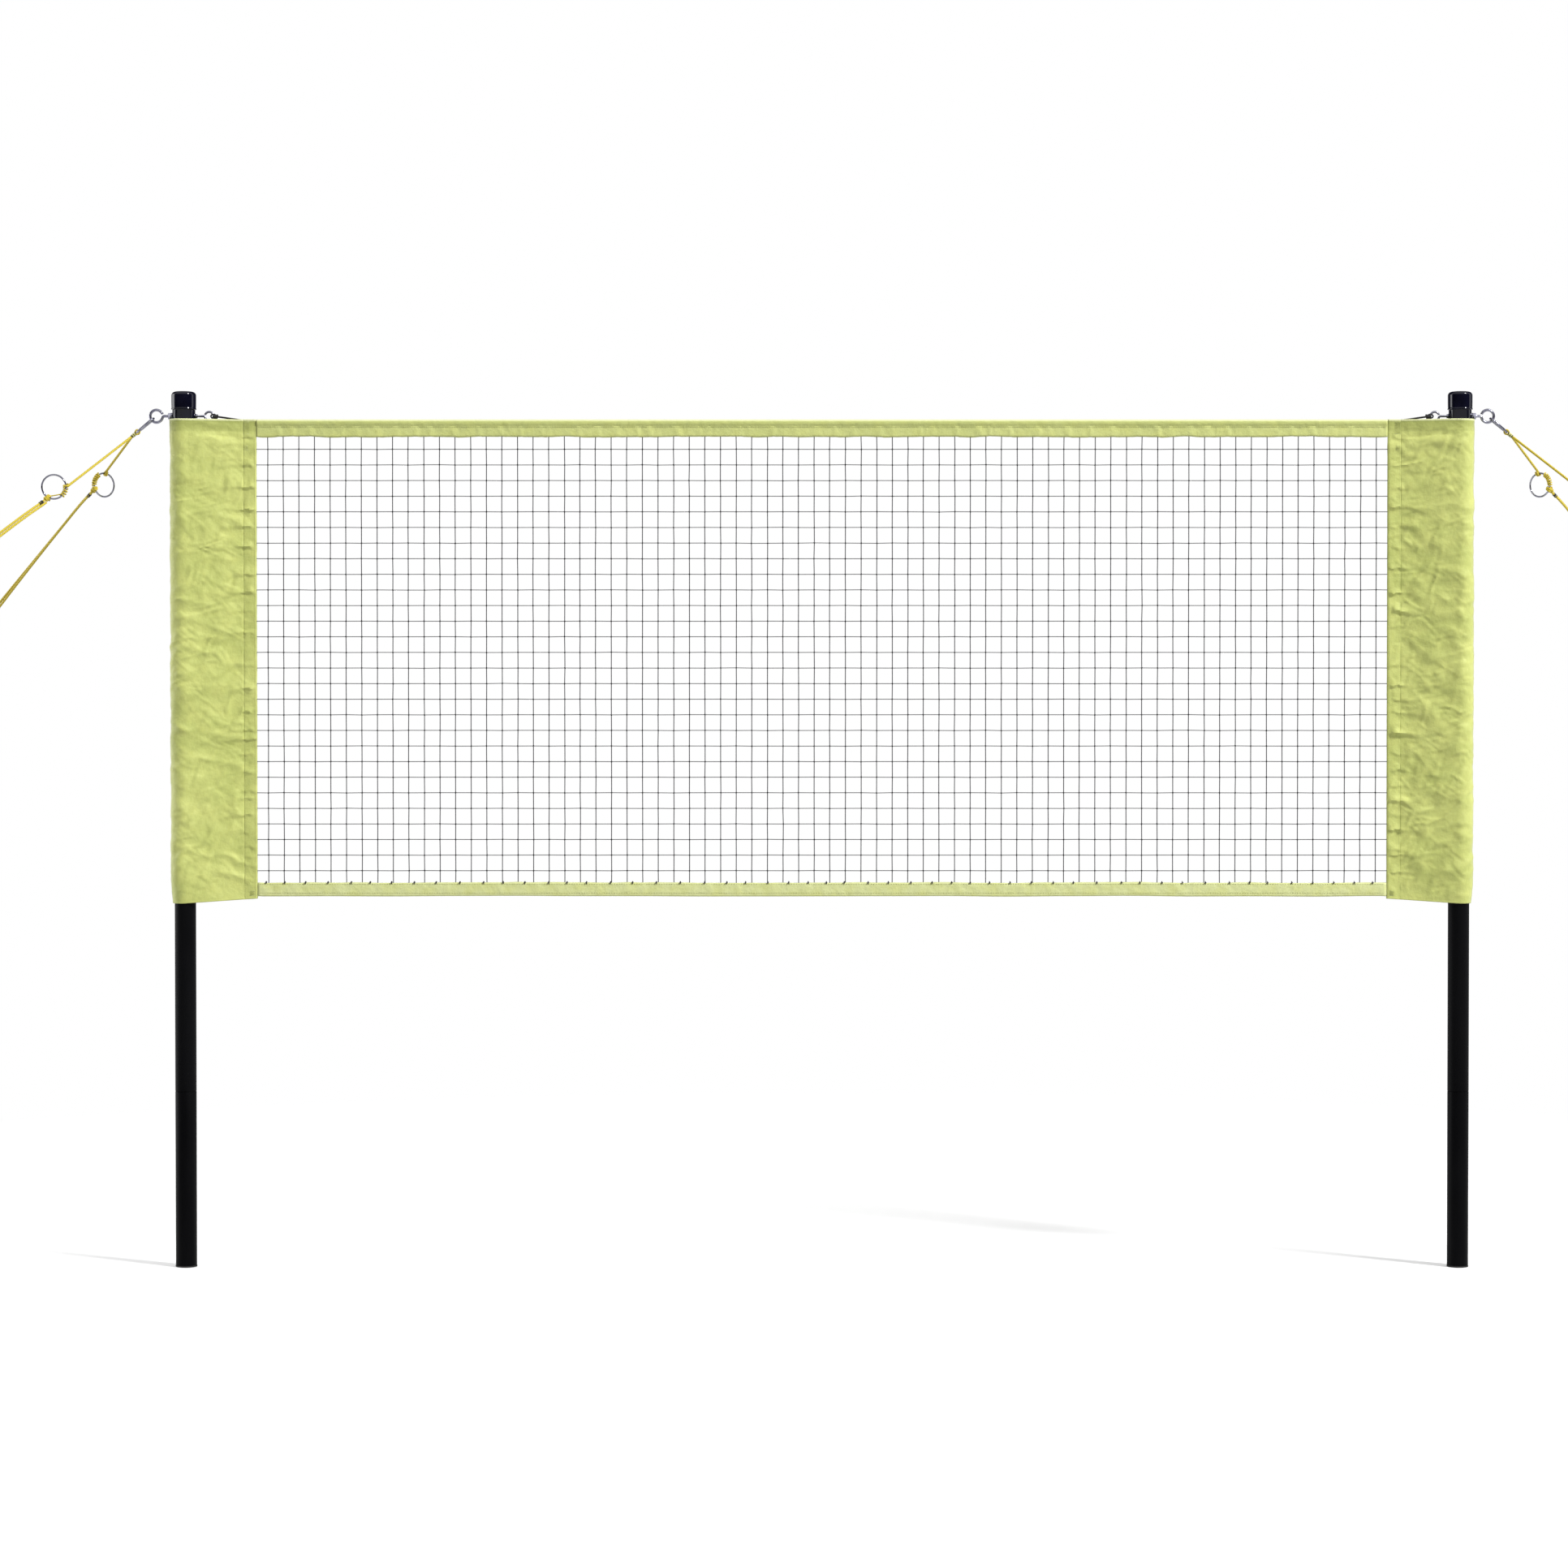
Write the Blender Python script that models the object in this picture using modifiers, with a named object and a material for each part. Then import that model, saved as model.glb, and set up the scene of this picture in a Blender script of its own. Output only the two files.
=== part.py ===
"""A portable sports net on two sectional poles, held up by guy ropes.

Metres, +Z up. The floor is Z = 0, the net runs along X, and its front faces -Y. The origin is on the
floor midway between the poles. Each side is laid out in outward coordinates: the distance out from the
origin along X, then Y and Z, so that one set of sizes makes both sides.
"""

import math
from collections import namedtuple

import bmesh
import bpy
from mathutils import Matrix, Vector

CLEARANCE = 0.0003  # left between neighbouring solids

# Poles: steel tube in two sections, the lower one necked down to a spigot
POLE_SPACING = 2.300  # between the two pole axes
POLE_RADIUS = 0.01905
POLE_WALL = 0.0016
POLE_TOP = 1.565  # upper end of the tube, inside the cap
JOINT_HEIGHT = 0.318  # where the upper section stands on the lower one's shoulder
SPIGOT_LENGTH = 0.100
SHOULDER_CHAMFER = 0.0008
POLE_STEPS = 20

# Foot plugs
FOOT_OVERHANG = 0.0005
FOOT_THICKNESS = 0.0025
FOOT_PLUG_LENGTH = 0.025
FOOT_PLUG_WALL = 0.0030

# Pole caps: a domed head, a skirt outside the tube and a solid stem inside it
CAP_CROWN = 0.0156  # solid height above the tube's end
CAP_HEAD_HEIGHT = 0.033
CAP_LIP = 0.0016  # how far the head stands out from the skirt
CAP_EDGE_RADIUS = 0.0070
CAP_SKIRT_WALL = 0.0013
CAP_SKIRT_LENGTH = 0.022
CAP_STEM_BELOW_BOLTS = 0.012

# Eye bolts, screwed into the cap's stem and locked by a nut and washer on the skirt
BOLT_DROP = 0.0117  # bolt axis below the head's underside
BOLT_TIP = 0.004  # tip of each bolt from the pole axis
BOLT_BEND = 0.8  # inner bend of the wire into the eye, in wire diameters
BOLT_EYE_OPENING = math.radians(18)
OUTER_WIRE = 0.0050
OUTER_EYE = 0.0275
OUTER_NECK = 0.0075
OUTER_NUT_FLATS = 0.0110
OUTER_NUT_HEIGHT = 0.0055
OUTER_WASHER_RADIUS = 0.00625
OUTER_WASHER_THICKNESS = 0.0015
INNER_WIRE = 0.0040
INNER_EYE = 0.0196
INNER_NECK = 0.0114
INNER_NUT_FLATS = 0.0070
INNER_NUT_HEIGHT = 0.0024
INNER_WASHER_RADIUS = 0.0045
INNER_WASHER_THICKNESS = 0.0008

# Snap hooks, hung in the outer eyes and drawn out along the pull of the guy ropes
SNAP_WIRE = 0.0040
SNAP_LENGTH = 0.042
SNAP_WIDTH = 0.020
SNAP_ANGLE = math.radians(39.7)  # below the horizontal
SNAP_NOSE = 0.0015
SNAP_TONGUE = 0.0016
SNAP_HINGE_REACH = 0.0016  # metal beyond the hinge pin
SNAP_PIN_RADIUS = 0.0006

# Guy ropes
ROPE = 0.0045
WHIPPING_LENGTH = 0.009
WHIPPING_COVER = 0.00025  # beyond the two ropes side by side
WHIPPING_STANDOFF = 0.0015
ROPE_POINT_SPACING = 0.0155

# Tension rings
RING_DIAMETER = 0.046
RING_WIRE = 0.0033
RING_KNOT_LENGTH = 0.014
RING_KNOT_WIDTH = 0.012
RING_KNOT_LEAD = 0.002  # how far the knot's middle lies beyond the ring's wire

# Each guy line has its own axes: along its heading, across it in the plane of the net, and in depth.
# The points of its ropes are (along, across, depth) from where the line leaves its whipping.
FRONT_HEADING = (1.0, -0.887, -0.934)
FRONT_RING_AT = 0.1872
FRONT_RING_OFFSET = (0.0051, 0.0, 0.0115)
FRONT_RING_AXIS = (0.0, 1.0, 0.0)
FRONT_KNOT_TOWARDS = (0.47, 0.0, -0.883)
FRONT_MAIN = [
    (0.000, 0.0, 0.0),
    (0.045, 0.0, 0.0),
    (0.090, 0.0, 0.0),
    (0.135, 0.0, 0.0),
    (0.180, 0.0, 0.0),
    (0.225, 0.0, 0.0),
    (0.265, 0.0, 0.0),
    (0.305, 0.0, 0.0),
    (0.335, 0.0, 0.0),
    (0.345, 0.0, 0.0),
    (0.3493, -0.0009, 0.0),
    (0.3529, -0.0038, 0.0),
    (0.3573, -0.0070, 0.0),
    (0.3641, -0.0070, 0.0),
    (0.3694, -0.0026, 0.0),
    (0.3707, 0.0024, 0.0),
    (0.3694, 0.0075, 0.0),
    (0.3641, 0.0119, 0.0),
    (0.3573, 0.0119, 0.0),
    (0.3529, 0.0087, 0.0),
    (0.3493, 0.0058, 0.0),
    (0.3450, 0.0049, 0.0),
]
FRONT_RETURN = [
    (0.2100, 0.0049, -0.0087),
    (0.2200, 0.0049, -0.0078),
    (0.2320, 0.0049, -0.0057),
    (0.2450, 0.0049, -0.0034),
    (0.2580, 0.0049, -0.0015),
    (0.2710, 0.0049, -0.0004),
    (0.2850, 0.0049, 0.0),
    (0.3100, 0.0049, 0.0),
    (0.3446, 0.0049, 0.0),
]
BACK_HEADING = (1.0, 0.887, -0.9585)
BACK_RING_AT = 0.1224
BACK_RING_OFFSET = (-0.0070, 0.0070, -0.0070)
BACK_RING_AXIS = (1.0, 1.0, 0.0)
BACK_KNOT_TOWARDS = (0.661, -0.661, -0.351)
BACK_MAIN = [
    (0.000, 0.0, 0.0),
    (0.025, -0.0013, 0.0),
    (0.050, -0.0026, 0.0),
    (0.075, -0.0039, 0.0),
    (0.095, -0.0049, 0.0),
    (0.110, -0.0053, 0.0),
    (0.130, -0.0053, 0.0),
    (0.180, -0.0053, 0.0),
    (0.240, -0.0053, 0.0),
    (0.300, -0.0053, 0.0),
    (0.360, -0.0053, 0.0),
    (0.420, -0.0053, 0.0),
    (0.470, -0.0053, 0.0),
    (0.495, -0.0053, 0.0),
    (0.505, -0.0053, 0.0),
    (0.5093, -0.0044, 0.0),
    (0.5129, -0.0015, 0.0),
    (0.5173, 0.0017, 0.0),
    (0.5241, 0.0017, 0.0),
    (0.5294, -0.0027, 0.0),
    (0.5307, -0.0077, 0.0),
    (0.5294, -0.0128, 0.0),
    (0.5241, -0.0172, 0.0),
    (0.5173, -0.0172, 0.0),
    (0.5129, -0.0140, 0.0),
    (0.5093, -0.0111, 0.0),
    (0.5050, -0.0102, 0.0),
]
BACK_RETURN = [
    (0.1406, -0.0109, 0.0142),
    (0.1520, -0.0100, 0.0130),
    (0.1680, -0.0086, 0.0102),
    (0.1860, -0.0074, 0.0073),
    (0.2060, -0.0068, 0.0054),
    (0.2300, -0.0068, 0.0047),
    (0.2700, -0.0070, 0.0046),
    (0.3200, -0.0075, 0.0044),
    (0.3700, -0.0082, 0.0040),
    (0.4200, -0.0090, 0.0033),
    (0.4600, -0.0097, 0.0022),
    (0.4850, -0.0101, 0.0010),
    (0.5046, -0.0102, 0.0),
]

# Cloth: the sleeves on the poles, and the tapes along the net's edges
FABRIC = 0.0008
SLEEVE_LENGTH = 0.872
SLEEVE_REACH = 0.1304  # pole axis to the sleeve's edge at the net
SLEEVE_SEAM_INSET = 0.0234
SLEEVE_RISE = 0.008  # how much higher the hem is at the net than at the pole
SLEEVE_EASE_TOP = 0.00485  # cloth's middle from the cap's skirt
SLEEVE_EASE_BOTTOM = 0.0025  # cloth's middle from the pole
SLEEVE_TUCK_HEIGHT = 0.050  # over which the cloth closes in on the pole at the hem
TOP_TAPE_HEIGHT = 0.0324
BOTTOM_TAPE_HEIGHT = 0.025
BOTTOM_TAPE_LIFT = 0.004  # above the sleeve's hem at the net
TAPE_TUBE_HEIGHT = 0.013  # the cord's channel along the top of the tape
TAPE_BULGE = 0.0017

# Netting and the cord that carries it
TWINE = 0.0015
MESH_SIZE = 0.02815
UPRIGHT_TUCK = 0.010  # how far the twine turns back inside the tapes
RUNG_TUCK = 0.012  # and inside the sleeves
TOP_CORD = 0.0030
CORD_KNOT_LENGTH = 0.011
CORD_KNOT_WIDTH = 0.009
CORD_KNOT_LEAD = 0.002
CORD_KNOT_DROP = 0.001
CORD_LEAD = [(0.0, 0.0), (0.2, 0.25), (0.42, 0.54), (0.6, 0.78), (0.8, 0.94), (1.0, 1.0)]

# What the sizes above settle
HALF_SPACING = POLE_SPACING / 2
TUBE_BORE = POLE_RADIUS - POLE_WALL
SKIRT_RADIUS = POLE_RADIUS + CLEARANCE + CAP_SKIRT_WALL
CAP_TOP = POLE_TOP + CAP_CROWN
HEAD_UNDERSIDE = CAP_TOP - CAP_HEAD_HEIGHT
BOLT_HEIGHT = HEAD_UNDERSIDE - BOLT_DROP
FOOT_TOP = FOOT_THICKNESS + CLEARANCE
SLOT_HALF = max(TWINE + 1.5 * CLEARANCE, TOP_CORD / 2 + CLEARANCE)
CLOTH_HALF = SLOT_HALF + FABRIC / 2
SLEEVE_TOP = BOLT_HEIGHT - OUTER_NUT_FLATS / 2 - CLEARANCE
SLEEVE_BOTTOM = SLEEVE_TOP - SLEEVE_LENGTH
NET_HALF_WIDTH = HALF_SPACING - SLEEVE_REACH
TOP_TAPE_BOTTOM = SLEEVE_TOP - TOP_TAPE_HEIGHT
BOTTOM_TAPE_BOTTOM = SLEEVE_BOTTOM + SLEEVE_RISE + BOTTOM_TAPE_LIFT
BOTTOM_TAPE_TOP = BOTTOM_TAPE_BOTTOM + BOTTOM_TAPE_HEIGHT
CORD_HEIGHT = SLEEVE_TOP - FABRIC - 2 * CLEARANCE - TOP_CORD / 2

SIDES = {"left": -1, "right": 1}

Bolt = namedtuple("Bolt", "direction wire eye neck nut_flats nut_height washer_radius washer_thickness")
BOLTS = {
    "outer": Bolt(
        1,
        OUTER_WIRE,
        OUTER_EYE,
        OUTER_NECK,
        OUTER_NUT_FLATS,
        OUTER_NUT_HEIGHT,
        OUTER_WASHER_RADIUS,
        OUTER_WASHER_THICKNESS,
    ),
    "inner": Bolt(
        -1,
        INNER_WIRE,
        INNER_EYE,
        INNER_NECK,
        INNER_NUT_FLATS,
        INNER_NUT_HEIGHT,
        INNER_WASHER_RADIUS,
        INNER_WASHER_THICKNESS,
    ),
}

Line = namedtuple("Line", "front heading ring_at ring_offset ring_axis knot_towards main back")
LINES = {
    "front": Line(
        -1,
        FRONT_HEADING,
        FRONT_RING_AT,
        FRONT_RING_OFFSET,
        FRONT_RING_AXIS,
        FRONT_KNOT_TOWARDS,
        FRONT_MAIN,
        FRONT_RETURN,
    ),
    "back": Line(
        1,
        BACK_HEADING,
        BACK_RING_AT,
        BACK_RING_OFFSET,
        BACK_RING_AXIS,
        BACK_KNOT_TOWARDS,
        BACK_MAIN,
        BACK_RETURN,
    ),
}


def clear_scene():
    for thing in list(bpy.data.objects):
        bpy.data.objects.remove(thing, do_unlink=True)


def new_collection(name):
    collection = bpy.data.collections.new(name)
    bpy.context.scene.collection.children.link(collection)
    return collection


clear_scene()
PARTS = new_collection("net_on_poles")
CUTTERS = new_collection("cutters")


# Finishes


def finish(name, colour, roughness, metallic=0.0):
    made = bpy.data.materials.new(name)
    made.use_nodes = True
    shader = made.node_tree.nodes["Principled BSDF"]
    shader.inputs["Base Color"].default_value = (*colour, 1.0)
    shader.inputs["Roughness"].default_value = roughness
    shader.inputs["Metallic"].default_value = metallic
    return made


BLACK_COAT = finish("black_powder_coat", (0.012, 0.012, 0.014), 0.55)
CAP_PLASTIC = finish("cap_plastic", (0.008, 0.008, 0.016), 0.22)
FOOT_RUBBER = finish("foot_rubber", (0.015, 0.015, 0.015), 0.80)
ZINC_STEEL = finish("zinc_steel", (0.42, 0.42, 0.46), 0.32, 1.0)
CHROME = finish("ring_chrome", (0.72, 0.72, 0.76), 0.12, 1.0)
LIME_CLOTH = finish("lime_cloth", (0.62, 0.67, 0.20), 0.75)
NET_TWINE = finish("net_twine", (0.030, 0.030, 0.034), 0.70)
BLACK_CORD = finish("black_cord", (0.015, 0.015, 0.015), 0.75)
YELLOW_ROPE = finish("yellow_rope", (0.70, 0.56, 0.06), 0.60)


# Shapes


def place(side, point):
    """World position of a point in outward coordinates."""
    return Vector((side * point[0], point[1], point[2]))


def add_object(name, data, material):
    """A part of the net with a finish, or a cutter without one."""
    thing = bpy.data.objects.new(name, data)
    if material is None:
        thing.hide_render = True
        thing.display_type = "WIRE"
        CUTTERS.objects.link(thing)
        return thing
    data.materials.append(material)
    PARTS.objects.link(thing)
    return thing


def add_mesh(name, form, material, sharp_angle=math.radians(35)):
    mesh = bpy.data.meshes.new(name)
    form.to_mesh(mesh)
    form.free()
    mesh.shade_smooth()
    mesh.set_sharp_from_angle(angle=sharp_angle)
    return add_object(name, mesh, material)


def evaluated_mesh(thing):
    return bpy.data.meshes.new_from_object(thing.evaluated_get(bpy.context.evaluated_depsgraph_get()))


def turned(name, profile, material, location=(0, 0, 0), axis=(0, 0, 1), closed=False, steps=POLE_STEPS):
    """A profile of (radius, height) turned about an axis. It runs down its outer side."""
    outline = bpy.data.meshes.new(name + "_profile")
    count = len(profile)
    links = [(i, (i + 1) % count) for i in range(count if closed else count - 1)]
    outline.from_pydata([(radius, 0.0, height) for radius, height in profile], links, [])
    blank = bpy.data.objects.new(name + "_blank", outline)
    PARTS.objects.link(blank)
    screw = blank.modifiers.new("turn", "SCREW")
    screw.steps = screw.render_steps = steps
    screw.use_merge_vertices = True
    screw.merge_threshold = 0.00001
    mesh = evaluated_mesh(blank)
    bpy.data.objects.remove(blank, do_unlink=True)
    mesh.name = name
    mesh.shade_smooth()
    mesh.set_sharp_from_angle(angle=math.radians(35))
    thing = add_object(name, mesh, material)
    aim(thing, location, axis)
    return thing


def aim(thing, location, axis):
    """Puts an object's local Z along an axis."""
    turn = Vector((0, 0, 1)).rotation_difference(Vector(axis).normalized())
    thing.matrix_world = Matrix.Translation(location) @ turn.to_matrix().to_4x4()


def rod(name, start, end, radius, material=None, sides=16):
    start = Vector(start)
    axis = Vector(end) - start
    form = bmesh.new()
    bmesh.ops.create_cone(
        form, cap_ends=True, segments=sides, radius1=radius, radius2=radius, depth=axis.length
    )
    thing = add_mesh(name, form, material)
    aim(thing, start + axis / 2, axis)
    return thing


def spheroid(name, centre, axis, length, width, material):
    form = bmesh.new()
    bmesh.ops.create_uvsphere(form, u_segments=12, v_segments=8, radius=0.5)
    bmesh.ops.scale(form, vec=(width, width, length), verts=form.verts)
    thing = add_mesh(name, form, material, math.radians(80))
    aim(thing, centre, axis)
    return thing


def torus(name, centre, axis, radius, wire_radius, material=None, around=26, sides=6):
    bpy.ops.mesh.primitive_torus_add(
        major_radius=radius, minor_radius=wire_radius, major_segments=around, minor_segments=sides
    )
    made = bpy.context.object
    mesh = made.data
    bpy.data.objects.remove(made, do_unlink=True)
    mesh.shade_smooth()
    thing = add_object(name, mesh, material)
    aim(thing, centre, axis)
    return thing


def block(name, centre, axes, size):
    """A box cutter with its edges along three perpendicular directions."""
    form = bmesh.new()
    bmesh.ops.create_cube(form, size=1.0)
    bmesh.ops.scale(form, vec=size, verts=form.verts)
    thing = add_mesh(name, form, None)
    first, second = axes[0].normalized(), axes[1].normalized()
    turn = Matrix((first, second, first.cross(second))).transposed()
    thing.matrix_world = Matrix.Translation(centre) @ turn.to_4x4()
    return thing


def tube(name, points, radius, material, detail=2):
    """A round wire or rope through points, with flat ends."""
    curve = bpy.data.curves.new(name, "CURVE")
    curve.dimensions = "3D"
    curve.bevel_depth = radius
    curve.bevel_resolution = detail
    curve.use_fill_caps = True
    spline = curve.splines.new("POLY")
    spline.points.add(len(points) - 1)
    for knot, point in zip(spline.points, points):
        knot.co = (*point, 1.0)
    return add_object(name, curve, material)


def meshed(thing):
    """The same tube as a mesh with its ends welded on, so that it can be cut or joined."""
    mesh = evaluated_mesh(thing)
    form = bmesh.new()
    form.from_mesh(mesh)
    bmesh.ops.remove_doubles(form, verts=form.verts, dist=0.00001)
    form.to_mesh(mesh)
    form.free()
    name = thing.name
    home = thing.users_collection[0]
    place_in_world = thing.matrix_world.copy()
    bpy.data.objects.remove(thing, do_unlink=True)
    solid = bpy.data.objects.new(name, mesh)
    home.objects.link(solid)
    solid.matrix_world = place_in_world
    return solid


def combine(thing, other, operation):
    change = thing.modifiers.new(other.name, "BOOLEAN")
    change.operation = operation
    change.object = other


def as_tool(thing):
    """Turns a finished solid into one that is only joined to another."""
    for home in list(thing.users_collection):
        home.objects.unlink(thing)
    CUTTERS.objects.link(thing)
    thing.hide_render = True
    thing.display_type = "WIRE"
    return thing


def cloth(name, rows, material):
    """A folded sheet: rows of points lofted one to the next, then thickened about the middle."""
    form = bmesh.new()
    grid = [[form.verts.new(point) for point in row] for row in rows]
    for low, high in zip(grid, grid[1:]):
        for i in range(len(low) - 1):
            form.faces.new((low[i], low[i + 1], high[i + 1], high[i]))
    thing = add_mesh(name, form, material)
    solid = thing.modifiers.new("thickness", "SOLIDIFY")
    solid.thickness = FABRIC
    solid.offset = 0.0
    solid.use_even_offset = True
    return thing


def arc(centre, radius, start, end, steps):
    """Points in a plane on an arc, both ends included."""
    angles = [start + (end - start) * i / steps for i in range(steps + 1)]
    return [(centre[0] + radius * math.cos(a), centre[1] + radius * math.sin(a)) for a in angles]


def smooth_route(points, spacing):
    """Points about spacing apart, on one smooth curve through the route's own points."""
    points = [Vector(point) for point in points]
    runs = [(b - a).length for a, b in zip(points, points[1:])]
    headings = [(b - a) / run for a, b, run in zip(points, points[1:], runs)]
    slopes = [headings[0]]
    for before, after, run_in, run_out in zip(headings, headings[1:], runs, runs[1:]):
        slopes.append((before * run_out + after * run_in) / (run_in + run_out))
    slopes.append(headings[-1])
    route = [points[0]]
    for i, run in enumerate(runs):
        steps = max(1, round(run / spacing))
        for k in range(1, steps + 1):
            t = k / steps
            start = points[i] * (2 * t**3 - 3 * t**2 + 1) + slopes[i] * run * (t**3 - 2 * t**2 + t)
            end = points[i + 1] * (3 * t**2 - 2 * t**3) + slopes[i + 1] * run * (t**3 - t**2)
            route.append(start + end)
    return route


# Poles, feet and caps


def pole_axis(side, height):
    return place(side, (HALF_SPACING, 0.0, height))


def upper_pole(name, side):
    top, bottom = POLE_TOP, JOINT_HEIGHT + CLEARANCE
    profile = [(POLE_RADIUS, top), (POLE_RADIUS, bottom), (TUBE_BORE, bottom), (TUBE_BORE, top)]
    return turned(name + "_upper_pole", profile, BLACK_COAT, pole_axis(side, 0.0), closed=True)


def lower_pole(name, side):
    spigot = TUBE_BORE - CLEARANCE
    spigot_bore = spigot - POLE_WALL
    spigot_top = JOINT_HEIGHT + SPIGOT_LENGTH
    neck_bottom = JOINT_HEIGHT - 2 * POLE_WALL
    profile = [
        (spigot - SHOULDER_CHAMFER, spigot_top),
        (spigot, spigot_top - SHOULDER_CHAMFER),
        (spigot, JOINT_HEIGHT),
        (POLE_RADIUS - SHOULDER_CHAMFER, JOINT_HEIGHT),
        (POLE_RADIUS, JOINT_HEIGHT - SHOULDER_CHAMFER),
        (POLE_RADIUS, FOOT_TOP),
        (TUBE_BORE, FOOT_TOP),
        (TUBE_BORE, neck_bottom - POLE_WALL),
        (spigot_bore, neck_bottom),
        (spigot_bore, spigot_top),
    ]
    return turned(name + "_lower_pole", profile, BLACK_COAT, pole_axis(side, 0.0), closed=True)


def foot_plug(name, side):
    plug = TUBE_BORE - CLEARANCE
    cup = plug - FOOT_PLUG_WALL
    flange = POLE_RADIUS + FOOT_OVERHANG
    profile = [
        (0.0, FOOT_THICKNESS),
        (cup, FOOT_THICKNESS),
        (cup, FOOT_PLUG_LENGTH),
        (plug, FOOT_PLUG_LENGTH),
        (plug, FOOT_THICKNESS),
        (flange, FOOT_THICKNESS),
        (flange, 0.0),
        (0.0, 0.0),
    ]
    return turned(name + "_foot_plug", profile, FOOT_RUBBER, pole_axis(side, 0.0))


def pole_cap(name, side):
    head = SKIRT_RADIUS + CAP_LIP
    stem = TUBE_BORE - CLEARANCE
    groove = POLE_RADIUS + CLEARANCE
    skirt_bottom = HEAD_UNDERSIDE - CAP_SKIRT_LENGTH
    edge = min(CAP_EDGE_RADIUS, head, CAP_HEAD_HEIGHT)
    crown = arc((head - edge, CAP_TOP - edge), edge, math.pi / 2, 0.0, 4)
    profile = [(0.0, CAP_TOP)] + crown
    profile += [
        (head, HEAD_UNDERSIDE),
        (SKIRT_RADIUS, HEAD_UNDERSIDE),
        (SKIRT_RADIUS, skirt_bottom),
        (groove, skirt_bottom),
        (groove, POLE_TOP + CLEARANCE),
        (stem, POLE_TOP + CLEARANCE),
        (stem, BOLT_HEIGHT - CAP_STEM_BELOW_BOLTS),
        (0.0, BOLT_HEIGHT - CAP_STEM_BELOW_BOLTS),
    ]
    return turned(name + "_pole_cap", profile, CAP_PLASTIC, pole_axis(side, 0.0))


# Eye bolts


def bolt_point(side, bolt, reach, height=0.0):
    """A point at a distance from the pole axis, on the bolt's side of it."""
    return place(side, (HALF_SPACING + bolt.direction * reach, 0.0, BOLT_HEIGHT + height))


def washer_end(bolt):
    return SKIRT_RADIUS + CLEARANCE + bolt.washer_thickness


def nut_end(bolt):
    return washer_end(bolt) + CLEARANCE + bolt.nut_height


def eye_reach(bolt):
    return nut_end(bolt) + bolt.neck + bolt.eye / 2


def eye_radius(bolt):
    """Radius of the wire's middle round the eye."""
    return (bolt.eye - bolt.wire) / 2


def eye_bolt(label, side, bolt):
    """A bent wire: a straight shank, a reverse bend and a nearly closed eye."""
    centre, radius, bend = eye_reach(bolt), eye_radius(bolt), BOLT_BEND * bolt.wire
    bend_centre = centre - math.sqrt(radius**2 + 2 * radius * bend)
    meeting = math.asin(bend / (radius + bend))
    shank = [(BOLT_TIP, 0.0)]
    neck = arc((bend_centre, -bend), bend, math.pi / 2, meeting, 3)
    eye = arc((centre, 0.0), radius, math.pi + meeting, 3 * math.pi - BOLT_EYE_OPENING, 18)
    points = [bolt_point(side, bolt, reach, height) for reach, height in shank + neck + eye[1:]]
    return tube(label + "_eye_bolt", points, bolt.wire / 2, ZINC_STEEL, detail=1)


def bolt_bore(label, side, bolt):
    """Cutter for the hole from outside the skirt to the bolt's tip."""
    start = bolt_point(side, bolt, BOLT_TIP - CLEARANCE)
    end = bolt_point(side, bolt, SKIRT_RADIUS + POLE_RADIUS)
    return rod(label + "_bore", start, end, bolt.wire / 2 + CLEARANCE, sides=12)


def washer(label, side, bolt):
    hole = bolt.wire / 2 + CLEARANCE
    half = bolt.washer_thickness / 2
    profile = [(bolt.washer_radius, half), (bolt.washer_radius, -half), (hole, -half), (hole, half)]
    middle = bolt_point(side, bolt, washer_end(bolt) - half)
    return turned(label + "_washer", profile, ZINC_STEEL, middle, (1, 0, 0), closed=True, steps=16)


def nut(label, side, bolt):
    corner = bolt.nut_flats / math.sqrt(3)
    start = bolt_point(side, bolt, washer_end(bolt) + CLEARANCE)
    end = bolt_point(side, bolt, nut_end(bolt))
    thing = rod(label + "_nut", start, end, corner, ZINC_STEEL, sides=6)
    combine(thing, bolt_bore(label + "_nut", side, bolt), "DIFFERENCE")
    return thing


# Snap hooks


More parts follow.
